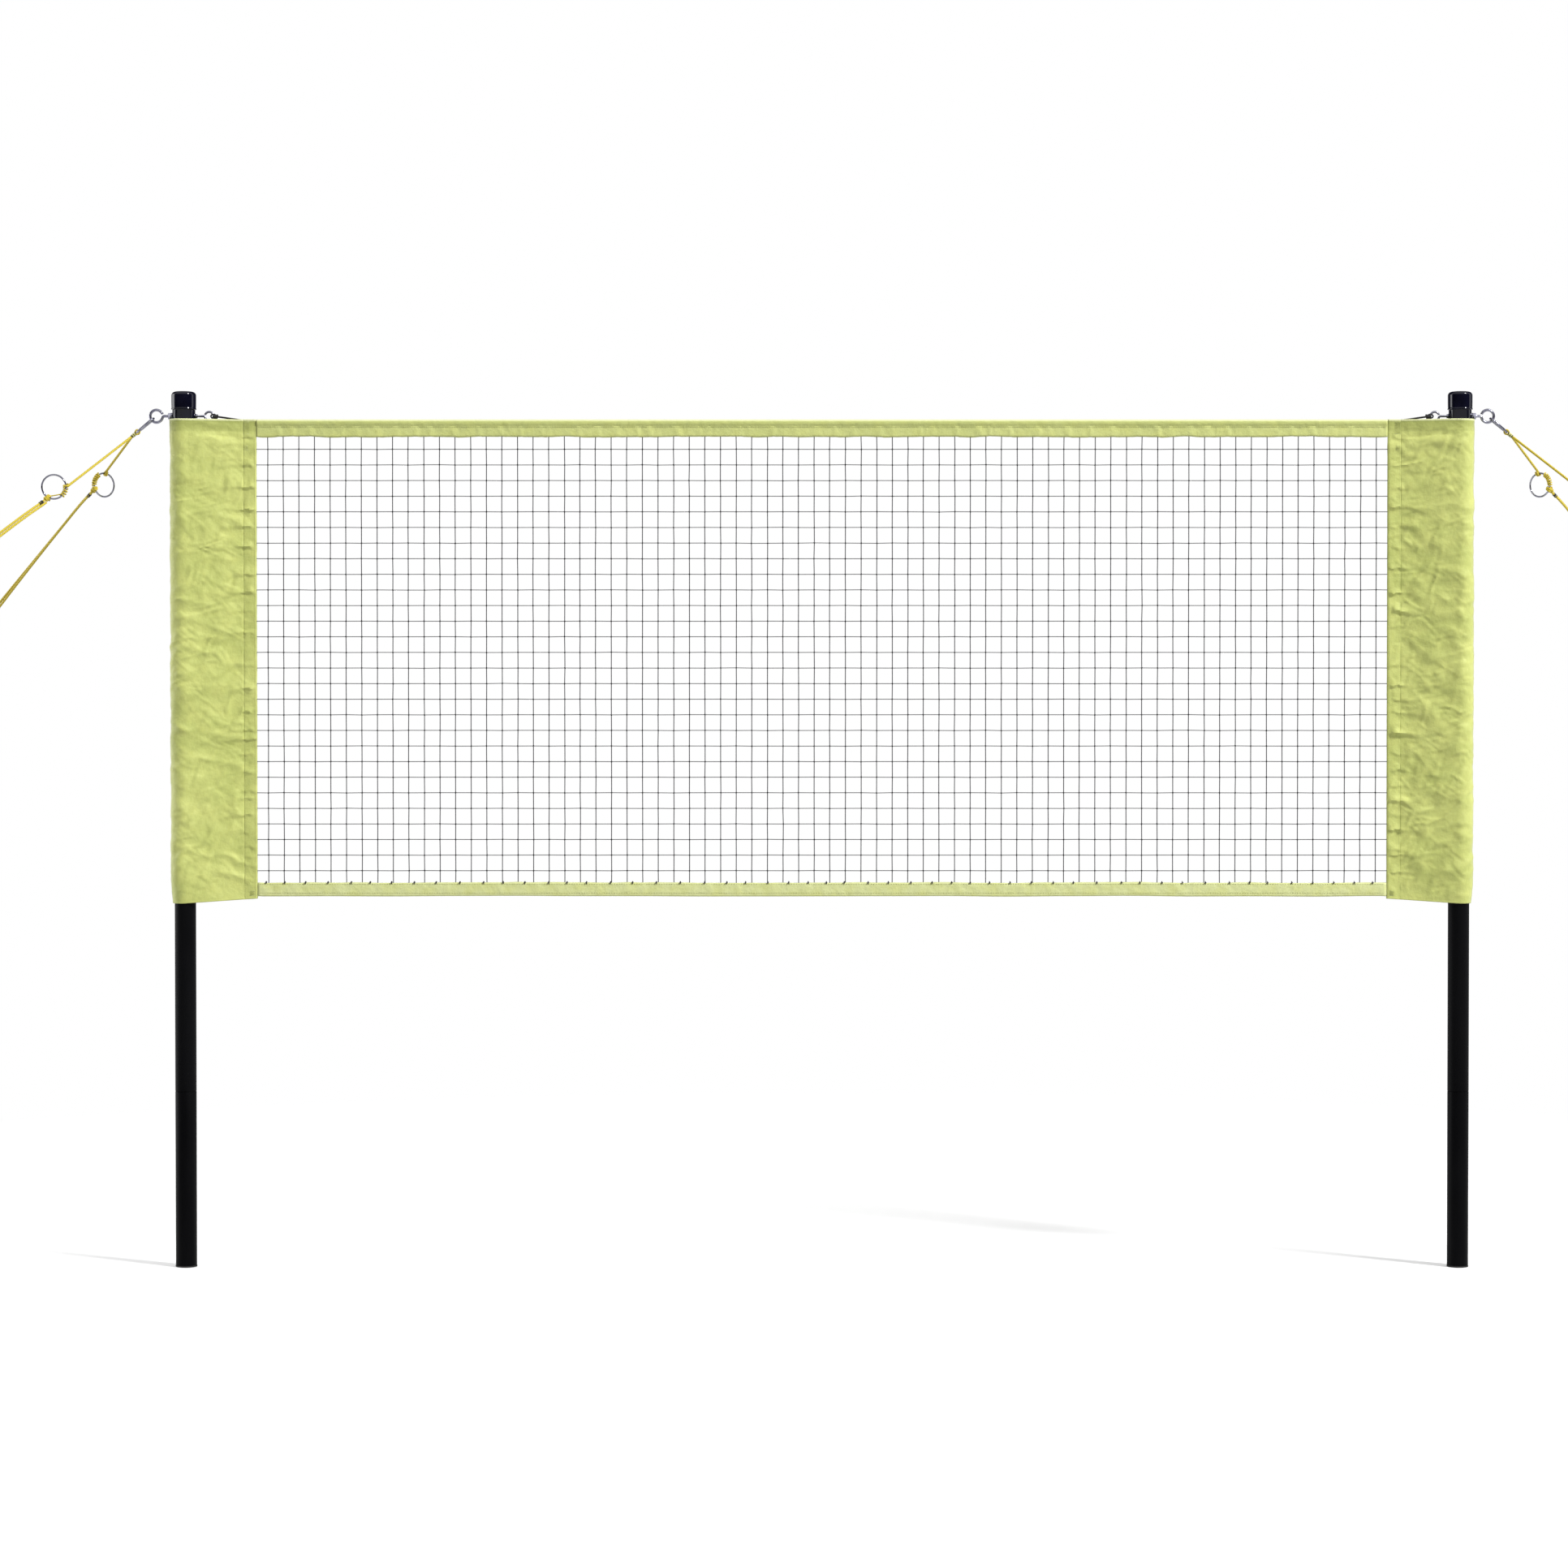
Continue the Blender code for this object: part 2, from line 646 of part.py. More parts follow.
class SnapHook:
    """Sizes of one snap hook, in (u, v, w): out along its pull, back along Y, and across both."""

    def __init__(self):
        bolt = BOLTS["outer"]
        self.wire = SNAP_WIRE / 2
        self.wide = SNAP_WIDTH / 2 - self.wire
        self.narrow = ROPE / 2 + self.wire + 2 * CLEARANCE
        self.start = eye_radius(bolt) - bolt.wire / 2 - CLEARANCE - self.wire
        self.end = self.start + SNAP_LENGTH - SNAP_WIRE
        self.wide_at = self.start + self.wide
        self.narrow_at = self.end - self.narrow
        self.taper = math.asin((self.wide - self.narrow) / (self.narrow_at - self.wide_at))
        self.shoulder = math.hypot(SNAP_HINGE_REACH, self.wire) + CLEARANCE
        self.pin = self.shoulder + CLEARANCE
        sine, cosine = math.sin(self.taper), math.cos(self.taper)
        self.wide_tangent = Vector((self.wide_at + self.wide * sine, -self.wide * cosine))
        self.narrow_tangent = Vector((self.narrow_at + self.narrow * sine, -self.narrow * cosine))
        run = self.wide_tangent - self.narrow_tangent
        self.opening = run.length
        self.gate = run.normalized()

    def on_gate(self, distance):
        """A point (u, v) on the gate's line, from where it leaves the narrow end."""
        return self.narrow_tangent + self.gate * distance

    def body_path(self):
        turn = math.pi / 2 - self.taper
        nose = self.on_gate(self.opening - SNAP_NOSE)
        path = [tuple(nose)]
        path += arc((self.wide_at, 0.0), self.wide, -turn, turn - 2 * math.pi, 9)
        path += arc((self.narrow_at, 0.0), self.narrow, turn, -turn, 7)
        path += [tuple(self.on_gate(self.pin + SNAP_HINGE_REACH))]
        return path

    def whipping_start(self):
        return self.end + self.wire + WHIPPING_STANDOFF

    def whipping_end(self):
        return self.whipping_start() + WHIPPING_LENGTH


SNAP = SnapHook()


def snap_direction():
    """Out along the pull, in outward coordinates."""
    return Vector((math.cos(SNAP_ANGLE), 0.0, -math.sin(SNAP_ANGLE)))


def snap_point(side, u, v=0.0, w=0.0):
    eye = Vector((HALF_SPACING + eye_reach(BOLTS["outer"]), 0.0, BOLT_HEIGHT))
    across = Vector((math.sin(SNAP_ANGLE), 0.0, math.cos(SNAP_ANGLE)))
    return place(side, eye + snap_direction() * u + Vector((0.0, v, 0.0)) + across * w)


def snap_axes(side):
    """World directions along the gate, across the gate in the hook's plane, and along the hinge pin."""
    origin = snap_point(side, 0.0)
    gate = snap_point(side, SNAP.gate.x, SNAP.gate.y) - origin
    pin = snap_point(side, 0.0, 0.0, 1.0) - origin
    return gate.normalized(), gate.cross(pin).normalized(), pin.normalized()


def snap_on_gate(side, distance, w=0.0):
    spot = SNAP.on_gate(distance)
    return snap_point(side, spot.x, spot.y, w)


def pin_hole(label, side):
    reach = SNAP_WIRE
    ends = [snap_on_gate(side, SNAP.pin, w) for w in (-reach, reach)]
    return rod(label, *ends, SNAP_PIN_RADIUS + CLEARANCE, sides=10)


def snap_hook(name, side):
    points = [snap_point(side, u, v) for u, v in SNAP.body_path()]
    hook = meshed(tube(name + "_snap_hook", points, SNAP.wire, ZINC_STEEL, detail=1))
    gate, across, pin = snap_axes(side)
    length = SNAP.shoulder + SNAP_HINGE_REACH + SNAP.wire
    middle = SNAP.pin - SNAP.shoulder + length / 2
    for label, sign in (("upper", 1), ("lower", -1)):
        centre = snap_on_gate(side, middle, sign * (SNAP_TONGUE / 2 + SNAP_WIRE / 2))
        size = (length, 2 * SNAP_WIRE, SNAP_WIRE)
        cheek = block(f"{name}_snap_tongue_{label}", centre, (gate, across), size)
        combine(hook, cheek, "DIFFERENCE")
    combine(hook, pin_hole(name + "_snap_tongue_hole", side), "DIFFERENCE")
    return hook


def snap_gate(name, side):
    start = snap_on_gate(side, SNAP.pin - SNAP_HINGE_REACH)
    end = snap_on_gate(side, SNAP.opening - SNAP_NOSE - CLEARANCE)
    bar = rod(name + "_snap_gate", start, end, SNAP.wire, ZINC_STEEL, sides=12)
    gate, across, _ = snap_axes(side)
    length = 2 * SNAP.shoulder
    size = (length, 2 * SNAP_WIRE, SNAP_TONGUE + 2 * CLEARANCE)
    slot = block(name + "_snap_gate_slot", snap_on_gate(side, SNAP.pin), (gate, across), size)
    combine(bar, slot, "DIFFERENCE")
    combine(bar, pin_hole(name + "_snap_gate_hole", side), "DIFFERENCE")
    return bar


def gate_pin(name, side):
    reach = SNAP.wire - CLEARANCE / 3
    ends = [snap_on_gate(side, SNAP.pin, w) for w in (-reach, reach)]
    return rod(name + "_gate_pin", *ends, SNAP_PIN_RADIUS, ZINC_STEEL, sides=10)


def whipping(name, side):
    """The bound end of the guy rope: a barrel, and a loop through the narrow end of the hook."""
    radius = ROPE + WHIPPING_COVER
    start, end = SNAP.whipping_start(), SNAP.whipping_end()
    edge = WHIPPING_COVER * 4
    half = (end - start) / 2
    profile = [
        (0.0, half),
        (radius - edge, half),
        (radius, half - edge),
        (radius, edge - half),
        (radius - edge, -half),
        (0.0, -half),
    ]
    middle = snap_point(side, start + half)
    axis = snap_point(side, 1.0) - snap_point(side, 0.0)
    barrel = turned(name + "_whipping", profile, YELLOW_ROPE, middle, axis, steps=14)
    round_wire = SNAP.wire + ROPE / 2 + CLEARANCE * 1.7
    legs = [(start + half, ROPE / 2), (start + half / 4, round_wire * 0.75)]
    bight = arc((SNAP.end, 0.0), round_wire, math.radians(60), math.radians(300), 9)
    path = legs + bight + [(u, -w) for u, w in reversed(legs)]
    loop = tube(name + "_whipping_loop", [snap_point(side, u, 0.0, w) for u, w in path], ROPE / 2, YELLOW_ROPE, 1)
    combine(barrel, as_tool(meshed(loop)), "UNION")
    return barrel


# Guy lines


def line_axes(line):
    """Unit directions along, across and in depth, in outward coordinates."""
    along = Vector(line.heading).normalized()
    across = Vector((-along.z, 0.0, along.x)).normalized()
    return along, across, along.cross(across)


def line_point(line, spot):
    """A point of a line's own (along, across, depth), in outward coordinates."""
    along, across, depth = line_axes(line)
    tilt = math.sqrt(1 - along.dot(snap_direction()) ** 2)
    start = SNAP.whipping_end() + CLEARANCE + ROPE / 2 * tilt
    eye = Vector((HALF_SPACING + eye_reach(BOLTS["outer"]), 0.0, BOLT_HEIGHT))
    origin = eye + snap_direction() * start + Vector((0.0, line.front * (ROPE + CLEARANCE) / 2, 0.0))
    return origin + along * spot[0] + across * spot[1] + depth * spot[2]


def main_across(line):
    """How far across the main rope runs where it passes the ring."""
    return min(line.main, key=lambda spot: abs(spot[0] - line.ring_at))[1]


def ring_centre(line):
    rope_crossing = line_point(line, (line.ring_at, main_across(line), 0.0))
    return rope_crossing + Vector(line.ring_offset)


def ring_wire_radius():
    return (RING_DIAMETER - RING_WIRE) / 2


def knot_centre(line):
    wire = ring_centre(line) + Vector(line.knot_towards).normalized() * ring_wire_radius()
    return wire + line_axes(line)[0] * RING_KNOT_LEAD


def guy_rope(label, side, line, points):
    spots = smooth_route(points, ROPE_POINT_SPACING)
    return tube(label, [place(side, line_point(line, spot)) for spot in spots], ROPE / 2, YELLOW_ROPE)


def tension_ring(label, side, line, wire, material=None):
    centre = place(side, ring_centre(line))
    return torus(label, centre, place(side, line.ring_axis), ring_wire_radius(), wire, material)


def ring_knot(label, side, line):
    axis = place(side, line_axes(line)[0])
    centre = place(side, knot_centre(line))
    knot = spheroid(label + "_ring_knot", centre, axis, RING_KNOT_LENGTH, RING_KNOT_WIDTH, YELLOW_ROPE)
    tunnel = tension_ring(label + "_knot_tunnel", side, line, RING_WIRE / 2 + 1.5 * CLEARANCE)
    combine(knot, tunnel, "DIFFERENCE")
    return knot


def guy_line(name, side, place_name, line):
    label = f"{name}_{place_name}"
    guy_rope(label + "_guy_rope", side, line, line.main)
    guy_rope(label + "_guy_return", side, line, line.back)
    tension_ring(label + "_tension_ring", side, line, RING_WIRE / 2, CHROME)
    ring_knot(label, side, line)


# Sleeves, tapes, netting and cord


def sleeve_section(radius):
    """One level of the sleeve, as (distance out from the pole axis, Y), from hem edge to hem edge."""
    seam = Vector((SLEEVE_SEAM_INSET - SLEEVE_REACH, -CLOTH_HALF))
    facing = math.atan2(-CLOTH_HALF, seam.x) % (2 * math.pi)
    touch = facing + math.acos(radius / seam.length)
    front = [(-SLEEVE_REACH, -CLOTH_HALF), tuple(seam)]
    back = [(out, -y) for out, y in reversed(front)]
    return front + arc((0.0, 0.0), radius, touch, 4 * math.pi - touch, 12) + back


def sleeve(name, side):
    tuck = SLEEVE_TUCK_HEIGHT / SLEEVE_LENGTH
    top_radius = SKIRT_RADIUS + SLEEVE_EASE_TOP
    bottom_radius = POLE_RADIUS + SLEEVE_EASE_BOTTOM
    rows = []
    for share in (0.0, tuck / 3, tuck * 2 / 3, tuck, (1 + tuck) / 2, 1.0):
        opened = min(1.0, share / tuck)
        radius = bottom_radius + (top_radius - bottom_radius) * opened * (2 - opened)
        row = []
        for out, y in sleeve_section(radius):
            hem = SLEEVE_BOTTOM + SLEEVE_RISE * max(0.0, -out) / SLEEVE_REACH
            row.append(place(side, (HALF_SPACING + out, y, hem + (SLEEVE_TOP - hem) * share)))
        rows.append(row)
    return cloth(name + "_sleeve", rows, LIME_CLOTH)


def tape(name, section):
    """A folded strip from sleeve to sleeve with one (Y, Z) section all along."""
    end = NET_HALF_WIDTH - CLEARANCE
    rows = [[Vector((x, y, z)) for y, z in section] for x in (-end, end)]
    return cloth(name, rows, LIME_CLOTH)


def top_tape():
    """Folded over the cord: a rounded channel, with two flat layers below it."""
    half_height = (TAPE_TUBE_HEIGHT - FABRIC) / 2
    half_width = CLOTH_HALF + TAPE_BULGE
    middle = SLEEVE_TOP - TAPE_TUBE_HEIGHT / 2
    mouth = math.asin(CLOTH_HALF / half_width)
    section = [(-CLOTH_HALF, TOP_TAPE_BOTTOM)]
    for i in range(13):
        turn = mouth + (2 * math.pi - 2 * mouth) * i / 12
        section.append((-half_width * math.sin(turn), middle - half_height * math.cos(turn)))
    section.append((CLOTH_HALF, TOP_TAPE_BOTTOM))
    return tape("top_tape", section)


def bottom_tape():
    fold = arc((0.0, BOTTOM_TAPE_BOTTOM + FABRIC / 2 + CLOTH_HALF), CLOTH_HALF, math.pi, 2 * math.pi, 6)
    section = [(-CLOTH_HALF, BOTTOM_TAPE_TOP)] + fold + [(CLOTH_HALF, BOTTOM_TAPE_TOP)]
    return tape("bottom_tape", section)


def spread(low, high, pitch):
    """Evenly pitched places, as many as fit, centred between two edges."""
    count = int((high - low) / pitch)
    first = (low + high - (count - 1) * pitch) / 2
    return [first + i * pitch for i in range(count)]


def serpentine(places, low, high):
    """(place, reach) corners of one twine that runs to and fro."""
    corners = []
    for i, spot in enumerate(places):
        reaches = (low, high) if i % 2 == 0 else (high, low)
        corners += [(spot, reach) for reach in reaches]
    return corners


def netting():
    lift = (TWINE + CLEARANCE) / 2
    low, high = BOTTOM_TAPE_TOP - UPRIGHT_TUCK, TOP_TAPE_BOTTOM + UPRIGHT_TUCK
    uprights = serpentine(spread(-NET_HALF_WIDTH, NET_HALF_WIDTH, MESH_SIZE), low, high)
    tube("net_uprights", [(x, -lift, z) for x, z in uprights], TWINE / 2, NET_TWINE, detail=0)
    reach = NET_HALF_WIDTH + RUNG_TUCK
    rungs = serpentine(spread(BOTTOM_TAPE_TOP, TOP_TAPE_BOTTOM, MESH_SIZE), -reach, reach)
    tube("net_rungs", [(x, lift, z) for z, x in rungs], TWINE / 2, NET_TWINE, detail=0)


def cord_knot_reach():
    bolt = BOLTS["inner"]
    return eye_reach(bolt) + eye_radius(bolt) + CORD_KNOT_LEAD


def cord_knot(name, side):
    bolt = BOLTS["inner"]
    centre = bolt_point(side, bolt, cord_knot_reach(), -CORD_KNOT_DROP)
    knot = spheroid(name + "_cord_knot", centre, (1, 0, 0), CORD_KNOT_LENGTH, CORD_KNOT_WIDTH, BLACK_CORD)
    eye = bolt_point(side, bolt, eye_reach(bolt))
    wire = bolt.wire / 2 + 1.5 * CLEARANCE
    tunnel = torus(name + "_cord_knot_tunnel", eye, (0, 1, 0), eye_radius(bolt), wire)
    combine(knot, tunnel, "DIFFERENCE")
    return knot


def top_cord():
    """From the left knot down into the tape's channel, along it, and up to the right knot."""
    start = cord_knot_reach() + CORD_KNOT_LENGTH / 2 + CLEARANCE
    run = SLEEVE_REACH - start
    height = BOLT_HEIGHT - CORD_KNOT_DROP
    fall = height - CORD_HEIGHT
    lead = [(HALF_SPACING - start - run * share, 0.0, height - fall * drop) for share, drop in CORD_LEAD]
    points = [place(-1, point) for point in lead] + [place(1, point) for point in reversed(lead)]
    return tube("top_cord", points, TOP_CORD / 2, BLACK_CORD, detail=2)


def make_side(name, side):
    pole = upper_pole(name, side)
    lower_pole(name, side)
    foot_plug(name, side)
    cap = pole_cap(name, side)
    for kind, bolt in BOLTS.items():
        label = f"{name}_{kind}"
        bore = bolt_bore(label, side, bolt)
        combine(pole, bore, "DIFFERENCE")
        combine(cap, bore, "DIFFERENCE")
        eye_bolt(label, side, bolt)
        washer(label, side, bolt)
        nut(label, side, bolt)
    snap_hook(name, side)
    snap_gate(name, side)
    gate_pin(name, side)
    whipping(name, side)
    for place_name, line in LINES.items():
        guy_line(name, side, place_name, line)
    sleeve(name, side)
    cord_knot(name, side)


def main():
    for name, side in SIDES.items():
        make_side(name, side)
    top_tape()
    bottom_tape()
    netting()
    top_cord()


main()
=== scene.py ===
import math

import bmesh
import bpy
import numpy as np
from mathutils import Matrix, Vector


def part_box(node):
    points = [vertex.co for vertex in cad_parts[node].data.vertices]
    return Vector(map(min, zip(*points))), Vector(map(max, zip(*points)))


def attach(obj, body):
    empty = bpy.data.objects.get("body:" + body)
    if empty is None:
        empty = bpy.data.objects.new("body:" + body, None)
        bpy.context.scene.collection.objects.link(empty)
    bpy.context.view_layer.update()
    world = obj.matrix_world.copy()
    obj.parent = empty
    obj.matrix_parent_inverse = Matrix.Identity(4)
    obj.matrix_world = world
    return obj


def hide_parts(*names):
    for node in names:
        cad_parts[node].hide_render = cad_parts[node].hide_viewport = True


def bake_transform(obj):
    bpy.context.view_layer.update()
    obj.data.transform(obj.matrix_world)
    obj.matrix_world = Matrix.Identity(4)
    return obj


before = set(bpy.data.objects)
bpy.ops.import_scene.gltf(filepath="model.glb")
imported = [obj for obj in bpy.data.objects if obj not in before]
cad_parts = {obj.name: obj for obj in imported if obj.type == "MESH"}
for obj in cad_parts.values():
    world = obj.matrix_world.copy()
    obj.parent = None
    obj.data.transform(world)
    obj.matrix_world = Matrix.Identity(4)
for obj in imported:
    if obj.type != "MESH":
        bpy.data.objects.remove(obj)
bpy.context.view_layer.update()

SEED = 7
SIDES = {"left": -1, "right": 1}
FRAME = "net_frame"  # the body that most pieces ride on
STUDIO = bpy.context.scene.collection
UP = Vector((0.0, 0.0, 1.0))

# Camera: in front of the net and a little below its middle, which lies right of the image's own middle
IMAGE_PIXELS = 1932
NET_CENTRE_PIXEL = 1012.8  # across the image, where the net's middle lies
METRES_PER_PIXEL = 1.4654e-3  # at the plane of the net
CAMERA_DISTANCE = 7.0
CAMERA_HEIGHT = 1.007
AIM_HEIGHT = 0.873  # of the image's middle, at the plane of the net
SENSOR = 36.0

# Sizes that the looks share with the solids
CLEARANCE = 0.0003
POLE_RADIUS = 0.01905
POLE_WALL = 0.0016
CAP_SKIRT_WALL = 0.0013
CAP_LIP = 0.0016
CAP_HEAD_HEIGHT = 0.033
CAP_SKIRT_LENGTH = 0.022
BOLT_TIP = 0.004
BOLT_BEND = 0.8
BOLT_EYE_OPENING = math.radians(18)
SNAP_WIRE = 0.0040
SNAP_LENGTH = 0.042
SNAP_WIDTH = 0.020
SNAP_ANGLE = math.radians(39.7)
SNAP_NOSE = 0.0015
SNAP_TONGUE = 0.0016
SNAP_HINGE_REACH = 0.0016
SNAP_PIN_RADIUS = 0.0006
ROPE = 0.0045
RING_DIAMETER = 0.046
RING_WIRE = 0.0033
TWINE = 0.0015
MESH_SIZE = 0.02815
TOP_CORD = 0.0030
FABRIC = 0.0008
SLEEVE_REACH = 0.1304  # from the pole's axis to the sleeve's edge at the net
SLEEVE_SEAM_INSET = 0.0234  # from that edge to the seam
SLEEVE_RISE = 0.008  # of the lower hem, from the pole to the net
TAPE_TUBE_HEIGHT = 0.013
TAPE_BULGE = 0.0017  # of the top tape's tube, to each side of its flange
SLEEVE_HEM = 0.022

# Places read from the frame
HALF_SPACING = sum(corner.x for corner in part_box("right_upper_pole")) / 2
POLE_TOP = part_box("right_upper_pole")[1].z
JOINT_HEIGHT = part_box("right_upper_pole")[0].z
CAP_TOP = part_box("right_pole_cap")[1].z
BOLT_HEIGHT = sum(corner.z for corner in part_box("right_outer_nut")) / 2
SLEEVE_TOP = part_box("right_sleeve")[1].z
SLEEVE_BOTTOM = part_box("right_sleeve")[0].z
NET_HALF_WIDTH = HALF_SPACING - SLEEVE_REACH
TOP_TAPE_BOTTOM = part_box("top_tape")[0].z
BOTTOM_TAPE_BOTTOM, BOTTOM_TAPE_TOP = (corner.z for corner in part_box("bottom_tape"))
SKIRT_RADIUS = POLE_RADIUS + CLEARANCE + CAP_SKIRT_WALL
TUBE_BORE = POLE_RADIUS - POLE_WALL
HEAD_UNDERSIDE = CAP_TOP - CAP_HEAD_HEIGHT
SLOT_HALF = max(TWINE + 1.5 * CLEARANCE, TOP_CORD / 2 + CLEARANCE)  # between two layers of cloth
CLOTH_HALF = SLOT_HALF + FABRIC / 2  # to the middle of each layer

# Guy ropes: routes as (along, across, depth) from where a line leaves its whipping. A line runs straight to
# its stake loop, whose own places are (along, across) from where the straight part ends.
# Windings on a ring's wire are (start angle, end angle, turns, rope radius)
STAKE_LOOP = (
    (0.0, 0.0), (0.0043, 0.0009), (0.0079, 0.0038), (0.0123, 0.0070), (0.0191, 0.0070), (0.0244, 0.0026),
    (0.0257, -0.0024), (0.0244, -0.0075), (0.0191, -0.0119), (0.0123, -0.0119), (0.0079, -0.0087),
    (0.0043, -0.0058), (0.0, -0.0049),
)
LINES = {
    "front": {
        "front": -1, "heading": (1.0, -0.887, -0.934), "ring_at": 0.1872, "across": 0.0,
        "offset": (0.0051, 0.0, 0.0115), "axis": (0.0, 1.0, 0.0), "knot": (0.47, 0.0, -0.883),
        "attached": 177.0, "beside": (0.0, -0.0049, 0.0), "merges": 0.290,
        "straight": (0.335, 0.345), "loop_turn": -1,
        "return": (
            (0.2100, 0.0049, -0.0087), (0.2200, 0.0049, -0.0078), (0.2320, 0.0049, -0.0057),
            (0.2450, 0.0049, -0.0034), (0.2580, 0.0049, -0.0015), (0.2710, 0.0049, -0.0004),
            (0.2850, 0.0049, 0.0), (0.3100, 0.0049, 0.0), (0.3446, 0.0049, 0.0),
        ),
        "wraps": ((168, 184, 1.7, 0.0017), (188, 231, 3.6, 0.0015)),
        "knot_angle": -62.0, "collar": 0.007, "strand": (229, 292),
    },
    "back": {
        "front": 1, "heading": (1.0, 0.887, -0.9585), "ring_at": 0.1224, "across": -0.0053,
        "offset": (-0.0070, 0.0070, -0.0070), "axis": (1.0, 1.0, 0.0), "knot": (0.661, -0.661, -0.351),
        "attached": 100.0, "beside": (0.0, 0.0016, -0.0046), "merges": 0.210,
        "straight": (0.240, 0.300, 0.360, 0.420, 0.470, 0.495, 0.505), "loop_turn": 1,
        "return": (
            (0.1406, -0.0109, 0.0142), (0.1520, -0.0100, 0.0130), (0.1680, -0.0086, 0.0102),
            (0.1860, -0.0074, 0.0073), (0.2060, -0.0068, 0.0054), (0.2300, -0.0068, 0.0047),
            (0.2700, -0.0070, 0.0046), (0.3200, -0.0075, 0.0044), (0.3700, -0.0082, 0.0040),
            (0.4200, -0.0090, 0.0033), (0.4600, -0.0097, 0.0022), (0.4850, -0.0101, 0.0010),
            (0.5046, -0.0102, 0.0),
        ),
        "wraps": ((110, 91, 1.8, 0.0016), (60, -4, 6.3, 0.0015)),
        "knot_angle": -20.6, "collar": 0.010, "strand": None,
    },
}


# Shader nodes


class Graph:
    """Short calls that add nodes to a new material or world and link them."""

    def __init__(self, owner):
        owner.use_nodes = True
        self.owner = owner
        self.tree = owner.node_tree
        self.shader = self.tree.nodes.get("Principled BSDF")

    def add(self, kind, inputs=None, **settings):
        made = self.tree.nodes.new("ShaderNode" + kind)
        for key, value in settings.items():
            setattr(made, key, value)
        for key, value in (inputs or {}).items():
            self.put(made.inputs[key], value)
        return made

    def put(self, socket, value):
        if isinstance(value, bpy.types.Node):
            value = value.outputs[0]
        if isinstance(value, bpy.types.NodeSocket):
            self.tree.links.new(value, socket)
        else:
            socket.default_value = (*value, 1.0) if socket.type == "RGBA" else value

    def math(self, operation, *values):
        made = self.add("Math", operation=operation)
        for socket, value in zip(made.inputs, values):
            self.put(socket, value)
        return made.outputs[0]

    def noise(self, vector, scale, detail=2.0, stretch=(1, 1, 1)):
        moved = self.add("Mapping", {"Vector": vector, "Scale": stretch})
        made = self.add("TexNoise", {"Vector": moved.outputs[0], "Scale": scale, "Detail": detail})
        return made.outputs[0]

    def ramp(self, value, stops):
        made = self.add("ValToRGB", {"Fac": value})
        band = made.color_ramp
        band.interpolation = "EASE"
        while len(band.elements) < len(stops):
            band.elements.new(0.5)
        for element, (place, colour) in zip(band.elements, stops):
            element.position = place
            element.color = (*colour, 1.0)
        return made.outputs[0]

    def range(self, value, low, high, from_low=0.3, from_high=0.7):
        inputs = {0: value, 1: from_low, 2: from_high, 3: low, 4: high}
        return self.add("MapRange", inputs).outputs[0]

    def mix(self, share, first, second):
        made = self.add("Mix", data_type="RGBA")
        self.put(made.inputs[0], share)
        self.put(made.inputs[6], first)
        self.put(made.inputs[7], second)
        return made.outputs[2]

    def bump(self, height, distance, strength=1.0, normal=None):
        inputs = {"Height": height, "Distance": distance, "Strength": strength}
        if normal is not None:
            inputs["Normal"] = normal
        return self.add("Bump", inputs).outputs[0]

    def finish(self, **values):
        for key, value in values.items():
            self.put(self.shader.inputs[key.replace("_", " ")], value)
        return self.owner

    def object_place(self):
        return self.add("TexCoord").outputs["Object"]

    def uv(self):
        return self.add("UVMap", uv_map="UVMap").outputs[0]

    def uv_parts(self):
        parts = self.add("SeparateXYZ", {0: self.uv()})
        return parts.outputs[0], parts.outputs[1]


CLOTH_OLIVE = (0.490, 0.540, 0.135)
CLOTH_LIME = (0.610, 0.650, 0.185)
CLOTH_YELLOW = (0.655, 0.680, 0.190)
CLOTH_PALE = (0.720, 0.760, 0.360)


def new_finish(name):
    made = bpy.data.materials.new(name + "_finish")
    return Graph(made)


def patchy(name, dark, light, rough, patches, grain, depth, stops=(0.3, 0.7), rubbed=None, **values):
    """Slow patches of shade and roughness, fine grain, and streaks rubbed bare.

    Patches and grain are noises, given as (scale, detail, stretch).
    """
    graph = new_finish(name)
    place = graph.object_place()
    groove_shade = graph.noise(place, *patches)
    colour = graph.ramp(groove_shade, list(zip(stops, (dark, light))))
    if rubbed:
        rubs = graph.noise(place, 60.0, 3.0, (1, 1, 0.04))
        colour = graph.mix(graph.range(rubs, 0.0, 0.30, 0.62, 0.80), colour, rubbed)
    graph.finish(Base_Color=colour, Roughness=graph.range(groove_shade, *rough), **values)
    return graph.finish(Normal=graph.bump(graph.noise(place, *grain), *depth))


def metal(name, light, dark, rough, grain_scale):
    grain = (grain_scale, 3.0, (1, 1, 0.2))
    return patchy(name, dark, light, rough, (90.0, 4.0), grain, (0.00005, 0.5), Metallic=1.0)


def weave_height(graph, thread):
    """Plain weave: threads over and under each other, from UVs in metres."""
    across, along = graph.uv_parts()
    turn = math.pi / thread
    warp = graph.math("SINE", graph.math("MULTIPLY", across, turn))
    weft = graph.math("SINE", graph.math("MULTIPLY", along, turn))
    return graph.math("ABSOLUTE", graph.math("MULTIPLY", warp, weft))


